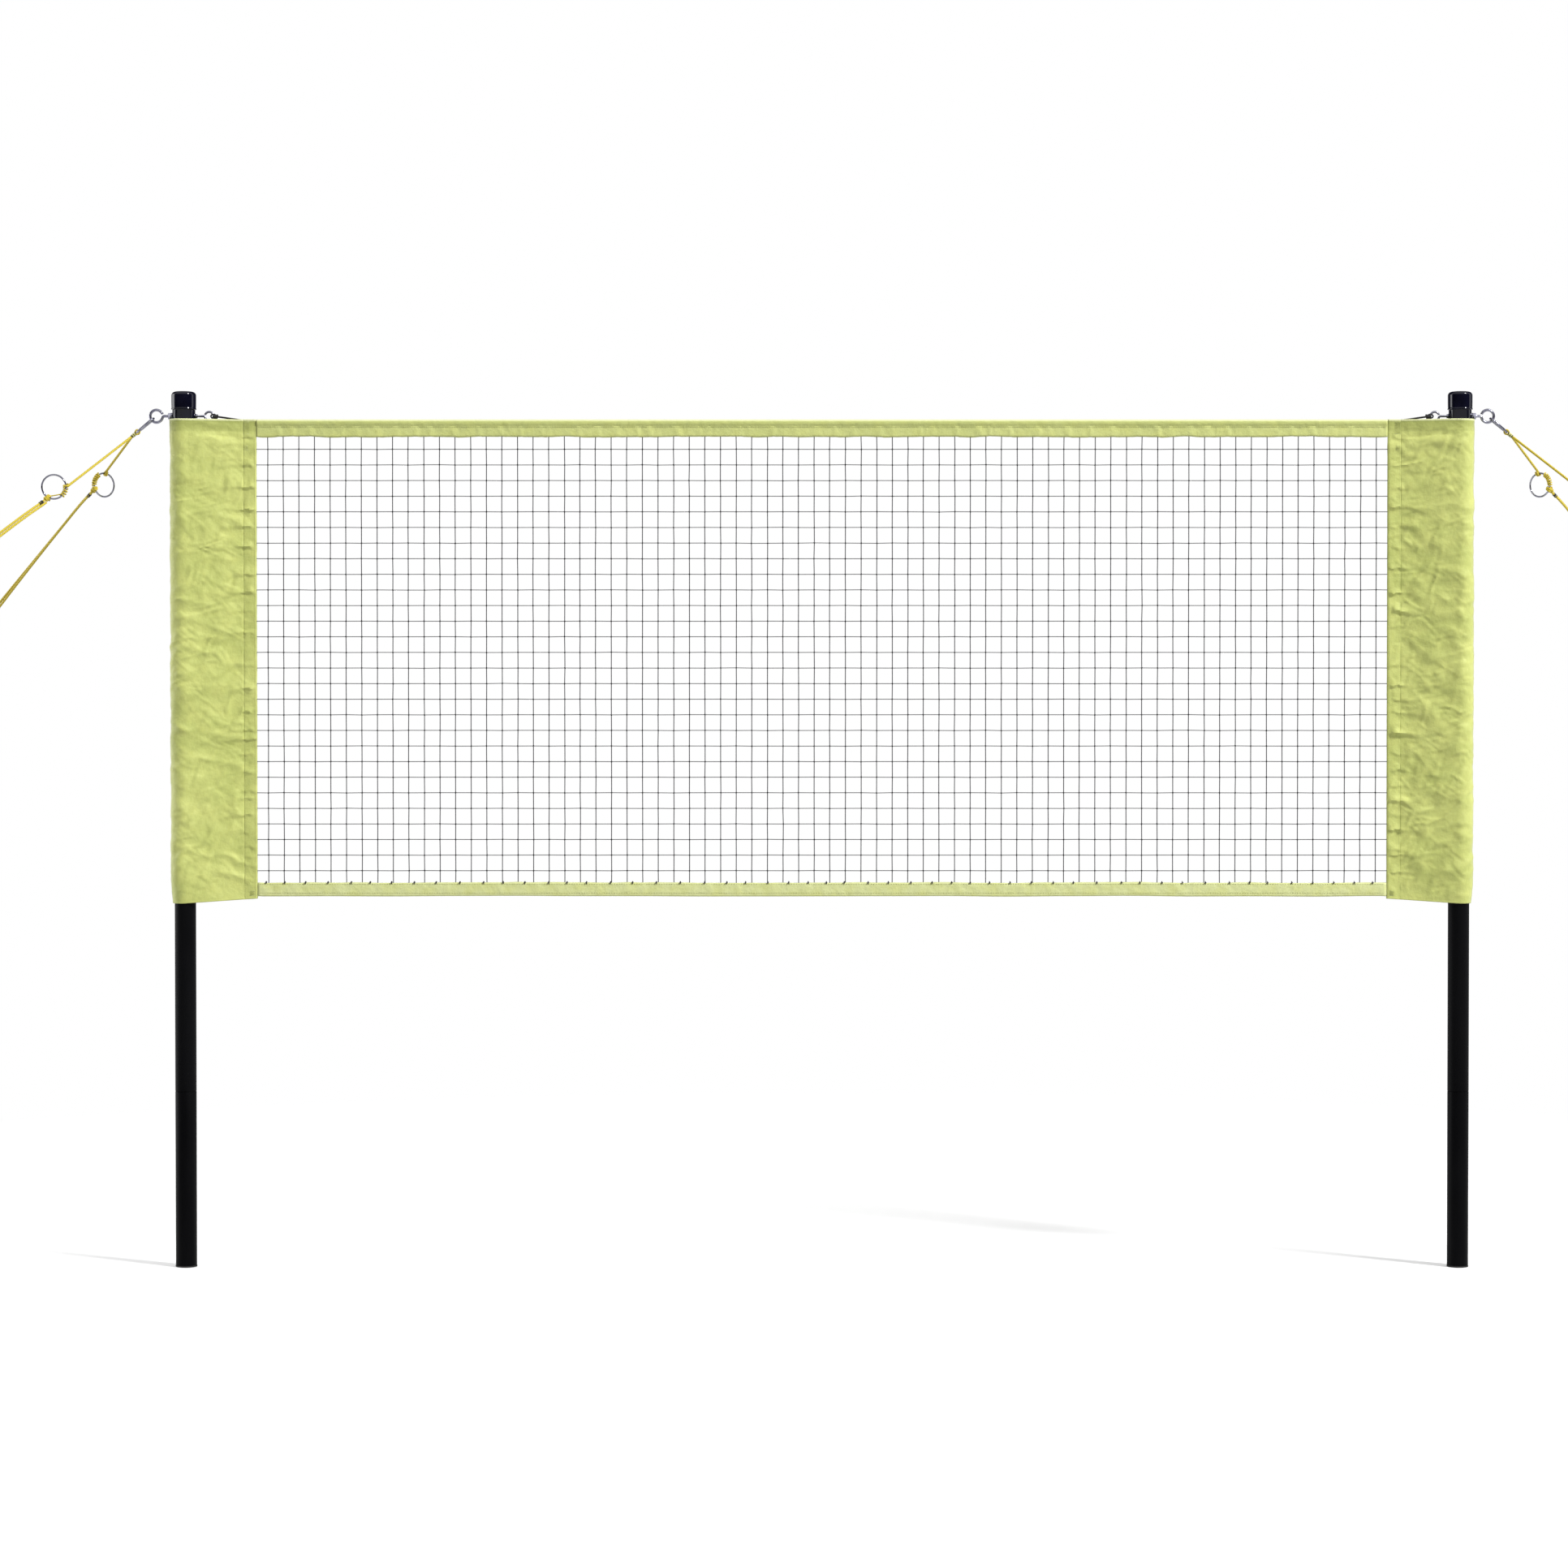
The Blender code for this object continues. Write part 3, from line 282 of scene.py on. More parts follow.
def lime_cloth(name, hem, deeper_and_shaded, faded=0.0):
    """Woven lime cloth with a satin sheen, deeper in colour where a hem of the given height doubles it; that
    band is partly the doubled cloth's own colour and partly painted shade. The top edge carries a painted
    highlight and the weave's hollows carry painted shade.
    """
    graph = new_finish(name)
    place = graph.object_place()
    broad = graph.noise(place, 9.0, 3.0)
    blotches = graph.noise(place, 34.0, 4.0, (1, 1, 1.6))
    fine = graph.noise(place, 120.0, 5.0)
    threads = graph.noise(graph.uv(), 900.0, 2.0, (1, 0.08, 1))
    weave = weave_height(graph, 0.0007)
    dark, light = (
        tuple(a + (b - a) * faded for a, b in zip(groove_shade, CLOTH_PALE)) for groove_shade in (CLOTH_OLIVE, CLOTH_LIME)
    )
    level = graph.add("SeparateXYZ", {0: place}).outputs[2]
    hem_end = SLEEVE_TOP - hem
    # Darker over the doubled hem: partly the deeper colour of two layers of cloth, partly painted shade of
    # the band under the top hem, which faces down
    doubled_and_shaded = graph.math(
        "ADD",
        graph.range(level, 0.0, 0.45 * deeper_and_shaded, hem_end - 0.0016, hem_end + 0.0016),
        graph.range(level, 0.0, 0.55 * deeper_and_shaded, hem_end, SLEEVE_TOP - 0.0045),
    )
    colour = graph.ramp(broad, [(0.30, dark), (0.70, light)])
    for share, over in (
        (graph.range(blotches, 0.0, 0.55, 0.42, 0.72), CLOTH_YELLOW),
        (graph.range(fine, 0.0, 0.22 - 0.16 * faded), CLOTH_OLIVE),
        (graph.range(threads, 0.0, 0.18), CLOTH_PALE),
        # Darker in the weave's hollows between threads: painted shade
        (graph.range(weave, 0.12, 0.0, 0.0, 0.6), (0.300, 0.330, 0.050)),
        (doubled_and_shaded, (0.370, 0.410, 0.100)),
        # The top few millimetres turn pale: a painted highlight on the rim, which faces up to the light
        (graph.range(level, 0.0, 0.85, SLEEVE_TOP - 0.0036, SLEEVE_TOP - 0.0024), (0.800, 0.830, 0.450)),
    ):
        colour = graph.mix(share, colour, over)
    crumple = graph.bump(graph.noise(place, 75.0, 3.0), 0.0022, 0.7, graph.bump(fine, 0.0010, 0.5))
    relief = graph.bump(weave, 0.00012, 0.5, crumple)
    graph.finish(Base_Color=colour, Roughness=0.62, Normal=relief)
    return graph.finish(Sheen_Weight=0.70, Sheen_Roughness=0.35)


def fibre_cord(name, dark, light, diameter, plaits):
    """A plaited or laid cord: diagonal strands both ways round it, with painted shade in the grooves between
    them, and loose fibres.
    """
    graph = new_finish(name)
    around, along = graph.uv_parts()
    round_turns = graph.math("MULTIPLY", around, 2 * plaits / diameter)
    along_turns = graph.math("MULTIPLY", along, 2 * math.pi / (1.6 * diameter))
    left, right = (
        graph.math("SINE", graph.math(way, round_turns, along_turns)) for way in ("ADD", "SUBTRACT")
    )
    strands = graph.math("MAXIMUM", left, right)
    fibres = graph.noise(graph.uv(), 2.2 / diameter, 4.0, (6, 1, 1))
    colour = graph.ramp(fibres, [(0.3, dark), (0.7, light)])
    # Darker in the grooves between strands: painted shade
    groove_shade = graph.range(strands, 0.55, 0.0, 0.0, 0.75)
    colour = graph.mix(groove_shade, colour, tuple(channel * 0.45 for channel in dark))
    fuzz = graph.bump(fibres, diameter * 0.05, 0.6)
    relief = graph.bump(strands, diameter * 0.05, 0.7, fuzz)
    return graph.finish(Base_Color=colour, Roughness=0.8, Sheen_Weight=0.2, Normal=relief)


POWDER_COAT = patchy(
    "black_powder_coat", (0.0012, 0.0012, 0.0016), (0.0032, 0.0032, 0.0038), (0.40, 0.54),
    (14.0, 4.0, (1, 1, 0.25)), (900.0,), (0.00012, 0.6),
    rubbed=(0.0065, 0.0065, 0.0070), Specular_IOR_Level=0.04,
)
CAP_PLASTIC = patchy(
    "cap_plastic", (0.0012, 0.0012, 0.0060), (0.0032, 0.0032, 0.0120), (0.06, 0.11),
    (45.0, 5.0), (260.0, 2.0, (1, 1, 0.06)), (0.00004, 0.4), Specular_IOR_Level=0.28,
)
FOOT_RUBBER = patchy(
    "foot_rubber", (0.004, 0.004, 0.004), (0.012, 0.012, 0.011), (0.68, 0.88),
    (700.0, 6.0), (700.0, 6.0), (0.0002, 0.6), stops=(0.35, 0.75),
)
ZINC = metal("zinc_steel", (0.32, 0.32, 0.38), (0.18, 0.18, 0.24), (0.16, 0.30), 500.0)
CHROME = metal("ring_chrome", (0.32, 0.32, 0.37), (0.22, 0.22, 0.27), (0.06, 0.14), 300.0)
SLEEVE_CLOTH = lime_cloth("sleeve_cloth", SLEEVE_HEM, 0.85)
TAPE_CLOTH = lime_cloth("tape_cloth", TAPE_TUBE_HEIGHT, 0.28, 0.35)
FADED_CLOTH = lime_cloth("faded_cloth", TAPE_TUBE_HEIGHT, 0.0, 1.0)
NET_TWINE = fibre_cord("net_twine", (0.016, 0.016, 0.020), (0.050, 0.050, 0.058), TWINE, 2)
TIGHT_TWINE = fibre_cord("tight_twine", (0.002, 0.002, 0.003), (0.007, 0.007, 0.009), TWINE, 2)
BLACK_CORD = fibre_cord("black_cord", (0.003, 0.003, 0.004), (0.012, 0.012, 0.014), TOP_CORD, 4)
YELLOW_ROPE = fibre_cord("yellow_rope", (0.58, 0.43, 0.020), (0.86, 0.70, 0.060), ROPE, 4)
DARK_THREAD = fibre_cord("dark_thread", (0.012, 0.009, 0.008), (0.040, 0.032, 0.026), 0.001, 2)
WHIPPING_TWINE = fibre_cord("whipping_twine", (0.62, 0.60, 0.16), (0.86, 0.84, 0.38), 0.001, 2)
PALE_THREAD = fibre_cord("pale_thread", (0.55, 0.60, 0.26), (0.74, 0.77, 0.42), 0.0006, 2)
OLIVE_THREAD = fibre_cord("olive_thread", (0.20, 0.21, 0.05), (0.34, 0.36, 0.10), 0.0006, 2)


# Shapes


def place(side, point):
    """World position of a point in outward coordinates."""
    return Vector((side * point[0], point[1], point[2]))


SMOOTH = math.pi  # no edge is sharp


def add_piece(name, mesh, material, replaced=None, body=FRAME, sharp=math.radians(35)):
    """A visible piece with its finish, in place of a node and riding on a body."""
    mesh.name = name
    mesh.materials.clear()
    mesh.materials.append(material)
    mesh.shade_smooth()
    mesh.set_sharp_from_angle(angle=sharp)
    piece = bpy.data.objects.new(name, mesh)
    STUDIO.objects.link(piece)
    if replaced:
        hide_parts(replaced)
    if body:
        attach(piece, body)
    return piece


def primitive(create, **settings):
    """A mesh from one of bmesh's own forms."""
    form = bmesh.new()
    create(form, **settings)
    mesh = bpy.data.meshes.new("form")
    form.to_mesh(mesh)
    form.free()
    return mesh


def modified(mesh, *changes):
    """The mesh after modifiers, each given as (kind, settings)."""
    thing = bpy.data.objects.new("blank", mesh)
    STUDIO.objects.link(thing)
    for kind, settings in changes:
        change = thing.modifiers.new(kind.lower(), kind)
        for key, value in settings.items():
            setattr(change, key, value)
    result = bpy.data.meshes.new_from_object(thing.evaluated_get(bpy.context.evaluated_depsgraph_get()))
    bpy.data.objects.remove(thing, do_unlink=True)
    return result


def transformed(mesh, location=(0, 0, 0), axis=(0, 0, 1)):
    """The mesh with its local Z laid along an axis."""
    turn = UP.rotation_difference(Vector(axis).normalized())
    mesh.transform(Matrix.Translation(location) @ turn.to_matrix().to_4x4())
    return mesh


def turned(profile, closed=False, steps=64):
    """A profile of (radius, height), running down its outer side, turned about Z."""
    outline = bpy.data.meshes.new("profile")
    count = len(profile)
    links = [(i, (i + 1) % count) for i in range(count if closed else count - 1)]
    outline.from_pydata([(radius, 0.0, height) for radius, height in profile], links, [])
    settings = {"steps": steps, "render_steps": steps, "use_merge_vertices": True, "merge_threshold": 0.00001}
    return modified(outline, ("SCREW", settings))


def rod(start, end, radius, sides=24):
    """A prism from one point to another."""
    size = {"radius1": radius, "radius2": radius, "depth": (end - start).length}
    mesh = primitive(bmesh.ops.create_cone, cap_ends=True, segments=sides, **size)
    return transformed(mesh, (start + end) / 2, end - start)


def block(centre, first, second, size):
    """A box with its first two sides along two perpendicular axes."""
    turn = Matrix((first, second, first.cross(second))).transposed()
    mesh = primitive(bmesh.ops.create_cube, size=1.0)
    mesh.transform(Matrix.Translation(centre) @ turn.to_4x4() @ Matrix.Diagonal((*size, 1.0)))
    return mesh


def combined(mesh, tools, operation="DIFFERENCE"):
    """The mesh after Booleans with other meshes."""
    helpers = [bpy.data.objects.new("tool", tool) for tool in tools]
    for helper in helpers:
        STUDIO.objects.link(helper)
    result = modified(mesh, *(("BOOLEAN", {"operation": operation, "object": helper}) for helper in helpers))
    for helper in helpers:
        bpy.data.objects.remove(helper, do_unlink=True)
    return result


def bevelled(mesh, width):
    """The mesh with its sharp edges rounded."""
    settings = {"width": width, "segments": 2, "limit_method": "ANGLE", "angle_limit": math.radians(30)}
    return modified(mesh, ("BEVEL", settings))


def arc(centre, radius, start, end, steps):
    angles = [start + (end - start) * i / steps for i in range(steps + 1)]
    return [(centre[0] + radius * math.cos(a), centre[1] + radius * math.sin(a)) for a in angles]


def smooth_route(points, spacing):
    """Points about spacing apart, on one smooth curve through the route's own points."""
    points = [Vector(point) for point in points]
    runs = [(b - a).length for a, b in zip(points, points[1:])]
    headings = [(b - a) / run for a, b, run in zip(points, points[1:], runs)]
    slopes = [headings[0]]
    for before, after, run_in, run_out in zip(headings, headings[1:], runs, runs[1:]):
        slopes.append((before * run_out + after * run_in) / (run_in + run_out))
    slopes.append(headings[-1])
    route = [points[0]]
    for i, run in enumerate(runs):
        steps = max(1, round(run / spacing))
        for k in range(1, steps + 1):
            t = k / steps
            start = points[i] * (2 * t**3 - 3 * t**2 + 1) + slopes[i] * run * (t**3 - 2 * t**2 + t)
            end = points[i + 1] * (3 * t**2 - 2 * t**3) + slopes[i + 1] * run * (t**3 - t**2)
            route.append(start + end)
    return route


def carried_frames(path):
    """Two directions across a path at each of its points, turning as little as they can."""
    tangents = np.gradient(path, axis=0)
    tangents /= np.linalg.norm(tangents, axis=1)[:, None]
    seed = (0.0, 0.0, 1.0) if abs(tangents[0][2]) < 0.9 else (1.0, 0.0, 0.0)
    normal = np.cross(tangents[0], seed)
    normals = []
    for tangent in tangents:
        normal = normal - tangent * (normal @ tangent)
        normal = normal / np.linalg.norm(normal)
        normals.append(normal)
    return np.array(normals), np.cross(tangents, normals)


def uv_mesh(points, faces, uvs):
    """A mesh with a UV pair for each corner of each face."""
    made = bpy.data.meshes.new("made")
    made.from_pydata(points.tolist(), [], faces)
    made.uv_layers.new(name="UVMap").data.foreach_set("uv", np.array(uvs, np.float32).ravel())
    return made


class Batch:
    """Swept solids gathered into one mesh, with UVs in metres around and along each of them."""

    def __init__(self):
        self.points = []
        self.faces = []
        self.uvs = []
        self.count = 0

    def sweep(self, path, radius, sides=12, relief=None):
        """A solid along a path. relief(along, around) gives a factor on the radius."""
        path = np.array([tuple(point) for point in path], float)
        normals, binormals = carried_frames(path)
        along = np.concatenate([[0.0], np.cumsum(np.linalg.norm(np.diff(path, axis=0), axis=1))])
        around = np.arange(sides) * 2 * math.pi / sides
        size = np.ones((len(path), sides)) * np.reshape(radius, (-1, 1))
        if relief:
            size = size * relief(along[:, None], around[None, :])
        cosines, sines = np.cos(around)[:, None], np.sin(around)[:, None]
        ring = cosines * normals[:, None] + sines * binormals[:, None]
        self.points += [(path[:, None] + size[..., None] * ring).reshape(-1, 3), path[[0, -1]]]
        first, rows = self.count, len(path)
        start_cap, end_cap = first + rows * sides, first + rows * sides + 1
        girth = float(np.mean(size))
        for i in range(rows - 1):
            low, high = along[i], along[i + 1]
            for j in range(sides):
                k = (j + 1) % sides
                a, b = first + i * sides, first + (i + 1) * sides
                self.faces.append((a + j, a + k, b + k, b + j))
                u, v = around[j] * girth, (around[j] + 2 * math.pi / sides) * girth
                self.uvs += [(u, low), (v, low), (v, high), (u, high)]
        last = first + (rows - 1) * sides
        for j in range(sides):
            k = (j + 1) % sides
            self.faces += [(start_cap, first + k, first + j), (end_cap, last + j, last + k)]
            self.uvs += [(0.0, 0.0)] * 3 + [(0.0, along[-1])] * 3
        self.count += rows * sides + 2
        return self

    def mesh(self):
        return uv_mesh(np.concatenate(self.points), self.faces, self.uvs)

    def add(self, name, material, replaced=None, body=FRAME, sharp=SMOOTH):
        return add_piece(name, self.mesh(), material, replaced, body, sharp)


def plaited(along, around):
    """Relief of a plaited rope: strands both ways round it."""
    turn = 2 * math.pi * along / (1.6 * ROPE)
    return 0.94 + 0.06 * np.maximum(np.cos(4 * around + turn), np.cos(4 * around - turn))


def winding(centre, axis, first, second, start, turns, pitch, steps):
    """Points that turn about an axis, from one radius towards another that crosses it."""
    count = max(2, int(turns * steps))
    points = []
    for i in range(count + 1):
        angle = start + 2 * math.pi * turns * i / count
        out = first * math.cos(angle) + second * math.sin(angle)
        points.append(Vector(centre) + out + axis * pitch * turns * (i / count - 0.5))
    return points


def helix(centre, axis, radius, start, turns, pitch, steps=14):
    """A round winding."""
    axis = Vector(axis).normalized()
    first = axis.orthogonal().normalized() * radius
    return winding(centre, axis, first, axis.cross(first), start, turns, pitch, steps)


# Camera, stage and light


WHITE = (1.0, 1.0, 1.0)
FLOOR_SIZE = 40.0
FLOOR_FADE = (1.5, 3.2)  # distances from the middle between which the floor turns into background
FLOOR_GLOW = 0.16  # what the floor adds to its own light, seen straight on, so that it looks white


def aimed(thing, location, target):
    thing.location = location
    thing.rotation_euler = (Vector(target) - Vector(location)).to_track_quat("-Z", "Y").to_euler()
    STUDIO.objects.link(thing)


def add_camera():
    data = bpy.data.cameras.new("camera")
    data.sensor_width = SENSOR
    reach = math.hypot(CAMERA_DISTANCE, CAMERA_HEIGHT - AIM_HEIGHT)
    data.lens = SENSOR * reach / (IMAGE_PIXELS * METRES_PER_PIXEL)
    data.shift_x = (IMAGE_PIXELS / 2 - NET_CENTRE_PIXEL) / IMAGE_PIXELS
    camera = bpy.data.objects.new("camera", data)
    aimed(camera, (0.0, -CAMERA_DISTANCE, CAMERA_HEIGHT), (0.0, 0.0, AIM_HEIGHT))
    bpy.context.scene.camera = camera


def only(graph, *kinds):
    """1 for the given kinds of ray, as the light path names them, and 0 for the others."""
    seen = graph.add("LightPath").outputs
    shown = seen[f"Is {kinds[0]} Ray"]
    for kind in kinds[1:]:
        shown = graph.math("MAXIMUM", shown, seen[f"Is {kind} Ray"])
    return shown


def glow(graph, kind, colour, strength):
    return graph.add(kind, {"Color": colour, "Strength": strength})


def add_floor():
    """A white floor that keeps the shadows near the poles and fades into the white background."""
    mesh = primitive(bmesh.ops.create_grid, x_segments=1, y_segments=1, size=FLOOR_SIZE)
    floor = bpy.data.objects.new("floor", mesh)
    floor.location.z = -CLEARANCE
    STUDIO.objects.link(floor)
    graph = Graph(bpy.data.materials.new("floor_white"))
    shown = only(graph, "Camera", "Glossy", "Transmission")
    graph.finish(Base_Color=graph.mix(shown, (0.42, 0.42, 0.42), (0.80, 0.80, 0.80)), Roughness=0.9)
    distance = graph.add("VectorMath", {0: graph.object_place()}, operation="LENGTH").outputs["Value"]
    fade = graph.range(distance, 0.0, 1.0, *FLOOR_FADE)
    lift = glow(graph, "Emission", WHITE, graph.math("MULTIPLY", shown, FLOOR_GLOW))
    lit = graph.add("AddShader", {0: graph.shader, 1: lift})
    white = glow(graph, "Emission", WHITE, 1.0)
    both = graph.add("MixShader", {0: graph.math("MULTIPLY", fade, shown), 1: lit, 2: white})
    graph.put(graph.tree.nodes["Material Output"].inputs["Surface"], both)
    mesh.materials.append(graph.owner)


def add_world():
    """White behind the object and dim in front of it, with a bright strip that polished metal mirrors."""
    world = bpy.data.worlds.new("studio")
    bpy.context.scene.world = world
    graph = Graph(world)
    parts = graph.add("SeparateXYZ", {0: graph.add("TexCoord").outputs["Generated"]}).outputs
    depth = graph.range(parts[1], 0.0, 1.0, -1.0, 1.0)
    mirrored = graph.ramp(depth, [
        (0.00, (0.10, 0.10, 0.10)), (0.44, (0.05, 0.05, 0.05)), (0.53, (1.60, 1.62, 1.75)),
        (0.58, (1.60, 1.62, 1.75)), (0.64, (0.05, 0.05, 0.06)), (0.92, (0.06, 0.06, 0.07)),
        (0.965, WHITE),
    ])
    panel = graph.range(parts[2], 0.0, 1.0, 0.42, 0.60)
    panel = graph.math("MULTIPLY", panel, graph.range(depth, 1.0, 0.0, 0.35, 0.60))
    glossy = glow(graph, "Background", graph.mix(panel, mirrored, (1.5, 1.5, 1.5)), 1.0)
    diffuse = glow(graph, "Background", WHITE, graph.range(depth, 0.38, 0.95, 0.35, 0.75))
    unseen = graph.add("MixShader", {0: only(graph, "Glossy"), 1: diffuse, 2: glossy})
    white = glow(graph, "Background", WHITE, 1.0)
    both = graph.add("MixShader", {0: only(graph, "Camera", "Transmission"), 1: unseen, 2: white})
    graph.put(graph.tree.nodes["World Output"].inputs["Surface"], both)


def add_light(name, location, aim, size, power):
    data = bpy.data.lights.new(name, "AREA")
    data.shape = "RECTANGLE"
    data.size, data.size_y = size
    data.energy = power
    aimed(bpy.data.objects.new(name, data), location, aim)


def add_studio():
    add_world()
    add_floor()
    add_light("key", (13.0, -9.5, 15.0), (0.0, 0.0, 1.0), (3.0, 3.0), 4750.0)
    for side, power in ((-1, 95.0), (1, 10.0)):
        add_light("rim", (side * 4.8, 1.2, 1.6), (side * HALF_SPACING, 0.0, 1.1), (2.4, 3.0), power)
    bpy.context.scene.view_settings.view_transform = "Standard"


# Guy lines


# Reaches and ends are distances from the pole's axis
BOLTS = {
    "outer": {
        "direction": 1, "wire": 0.0050, "eye": 0.0275, "neck": 0.0075, "nut_flats": 0.0110,
        "nut_height": 0.0055, "washer_radius": 0.00625, "washer_thickness": 0.0015, "pitch": 0.00127,
    },
    "inner": {
        "direction": -1, "wire": 0.0040, "eye": 0.0196, "neck": 0.0114, "nut_flats": 0.0070,
        "nut_height": 0.0024, "washer_radius": 0.0045, "washer_thickness": 0.0008, "pitch": 0.0009,
    },
}
for size in BOLTS.values():
    size["washer_end"] = SKIRT_RADIUS + CLEARANCE + size["washer_thickness"]
    size["nut_end"] = size["washer_end"] + CLEARANCE + size["nut_height"]
    size["reach"] = size["nut_end"] + size["neck"] + size["eye"] / 2  # to the eye's centre
    size["radius"] = (size["eye"] - size["wire"]) / 2  # of the eye, at the middle of its wire


def bolt_point(side, bolt, reach, height=0.0):
    return place(side, (HALF_SPACING + bolt["direction"] * reach, 0.0, BOLT_HEIGHT + height))


OUTER_EYE = bolt_point(1, BOLTS["outer"], BOLTS["outer"]["reach"])


class SnapHook:
    """Sizes of one snap hook, in (u, v, w): out along its pull, back along Y, and across both."""

    def __init__(self):
        bolt = BOLTS["outer"]
        self.wire = SNAP_WIRE / 2
        self.wide = SNAP_WIDTH / 2 - self.wire
        self.narrow = ROPE / 2 + self.wire + 2 * CLEARANCE
        self.start = bolt["radius"] - bolt["wire"] / 2 - CLEARANCE - self.wire
        self.end = self.start + SNAP_LENGTH - SNAP_WIRE
        self.wide_at = self.start + self.wide
        self.narrow_at = self.end - self.narrow
        self.taper = math.asin((self.wide - self.narrow) / (self.narrow_at - self.wide_at))
        self.shoulder = math.hypot(SNAP_HINGE_REACH, self.wire) + CLEARANCE
        self.pin = self.shoulder + CLEARANCE
        sine, cosine = math.sin(self.taper), math.cos(self.taper)
        self.wide_tangent = Vector((self.wide_at + self.wide * sine, -self.wide * cosine))
        self.narrow_tangent = Vector((self.narrow_at + self.narrow * sine, -self.narrow * cosine))
        run = self.wide_tangent - self.narrow_tangent
        self.opening = run.length
        self.gate = run.normalized()

    def on_gate(self, distance):
        return self.narrow_tangent + self.gate * distance

    def body_path(self):
        turn = math.pi / 2 - self.taper
        path = [tuple(self.on_gate(self.opening - SNAP_NOSE))]
        path += arc((self.wide_at, 0.0), self.wide, -turn, turn - 2 * math.pi, 30)
        path += arc((self.narrow_at, 0.0), self.narrow, turn, -turn, 20)
        path += [tuple(self.on_gate(self.pin + SNAP_HINGE_REACH))]
        return path


SNAP = SnapHook()
WHIPPING_START = SNAP.end + SNAP.wire + 0.0015
WHIPPING_END = WHIPPING_START + 0.009
SNAP_HEADING = Vector((math.cos(SNAP_ANGLE), 0.0, -math.sin(SNAP_ANGLE)))
SNAP_ACROSS = Vector((math.sin(SNAP_ANGLE), 0.0, math.cos(SNAP_ANGLE)))


def snap_point(side, u, v=0.0, w=0.0):
    return place(side, OUTER_EYE + SNAP_HEADING * u + Vector((0.0, v, 0.0)) + SNAP_ACROSS * w)


def line_axes(line):
    along = Vector(line["heading"]).normalized()
    across = Vector((-along.z, 0.0, along.x)).normalized()
    return along, across, along.cross(across)


def line_point(side, line, spot):
    """World position of a place on a line's route."""
    along, across, depth = line_axes(line)
    tilt = math.sqrt(1 - along.dot(SNAP_HEADING) ** 2)
    start = WHIPPING_END + CLEARANCE + ROPE / 2 * tilt
    sideways = Vector((0.0, line["front"] * (ROPE + CLEARANCE) / 2, 0.0))
    origin = OUTER_EYE + SNAP_HEADING * start + sideways
    return place(side, origin + along * spot[0] + across * spot[1] + depth * spot[2])


def lower_route(line):
    """From the ring's knot, beside the return strand, to the line's straight run and round the stake loop."""
    beside = Vector(line["beside"])
    start = [Vector(spot) + beside for spot in line["return"] if spot[0] < line["merges"]]
    *run, end = line["straight"]
    straight = [(along, line["across"], 0.0) for along in run]
    return start + straight + [(end + u, line["across"] + line["loop_turn"] * v, 0.0) for u, v in STAKE_LOOP]


ROPE_SIDES = 14
ROPE_STEP = 0.0011  # between the points of a rope


def guy_ropes(key, side, line):
    """A strand from the hook to the ring, one on to the stake loop, and the return to the ring's knot."""
    knot = key + "_tensioner"
    hook_end = line_point(side, line, (0.0, 0.0, 0.0))
    upper = [hook_end.lerp(ring_point(side, line, line["attached"], 0.0035), i / 160) for i in range(161)]
    lower, back = (
        [line_point(side, line, spot) for spot in smooth_route(route, ROPE_STEP)]
        for route in (lower_route(line), line["return"])
    )
    for suffix, path, node, first, last in (
        ("_guy_line", upper, "_guy_rope", FRAME, knot),
        ("_guy_line_lower", lower, "_guy_rope", knot, FRAME),
        ("_guy_line_return", back[::-1], "_guy_return", FRAME, knot),
    ):
        rope = Batch().sweep(path, ROPE / 2, ROPE_SIDES, plaited)
        strand = rope.add(key + suffix, YELLOW_ROPE, key + node, body=None)
        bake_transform(strand)


RING_RADIUS = (RING_DIAMETER - RING_WIRE) / 2


def ring_frame(side, line):
    """Centre of a tension ring, and the level direction in its plane that points outward."""
    centre = line_point(side, line, (line["ring_at"], line["across"], 0.0)) + place(side, line["offset"])
    outward = UP.cross(place(side, line["axis"])).normalized()
    return centre, outward if outward.x * side > 0 else -outward


def ring_point(side, line, angle, beyond=0.0):
    """A point on a ring's wire, seen with outward as 0 and up as 90 degrees, or beyond it by some metres."""
    centre, outward = ring_frame(side, line)
    turn = math.radians(angle)
    return centre + (outward * math.cos(turn) + UP * math.sin(turn)) * (RING_RADIUS + beyond)


def tension_ring(key, side, line):
    centre, outward = ring_frame(side, line)
    bpy.ops.mesh.primitive_torus_add(
        major_radius=RING_RADIUS, minor_radius=RING_WIRE / 2, major_segments=96, minor_segments=16
    )
    made = bpy.context.object
    mesh = made.data
    bpy.data.objects.remove(made, do_unlink=True)
    transformed(mesh, centre, outward.cross(UP))
    add_piece(key + "_ring", mesh, CHROME, key + "_tension_ring", key + "_tensioner", SMOOTH)


def ring_winding(batch, side, line, start, end, turns, radius):
    """Rope wound round a ring's wire between two angles."""
    axis = ring_frame(side, line)[1].cross(UP)
    lift = RING_WIRE / 2 + radius + CLEARANCE
    count = max(8, int(abs(turns) * 18))
    path = []
    for i in range(count + 1):
        share = i / count
        turn = 2 * math.pi * turns * share
        spot = ring_point(side, line, start + (end - start) * share, lift * math.cos(turn))
        path.append(spot + axis * lift * math.sin(turn))
    batch.sweep(path, radius, 12, plaited)


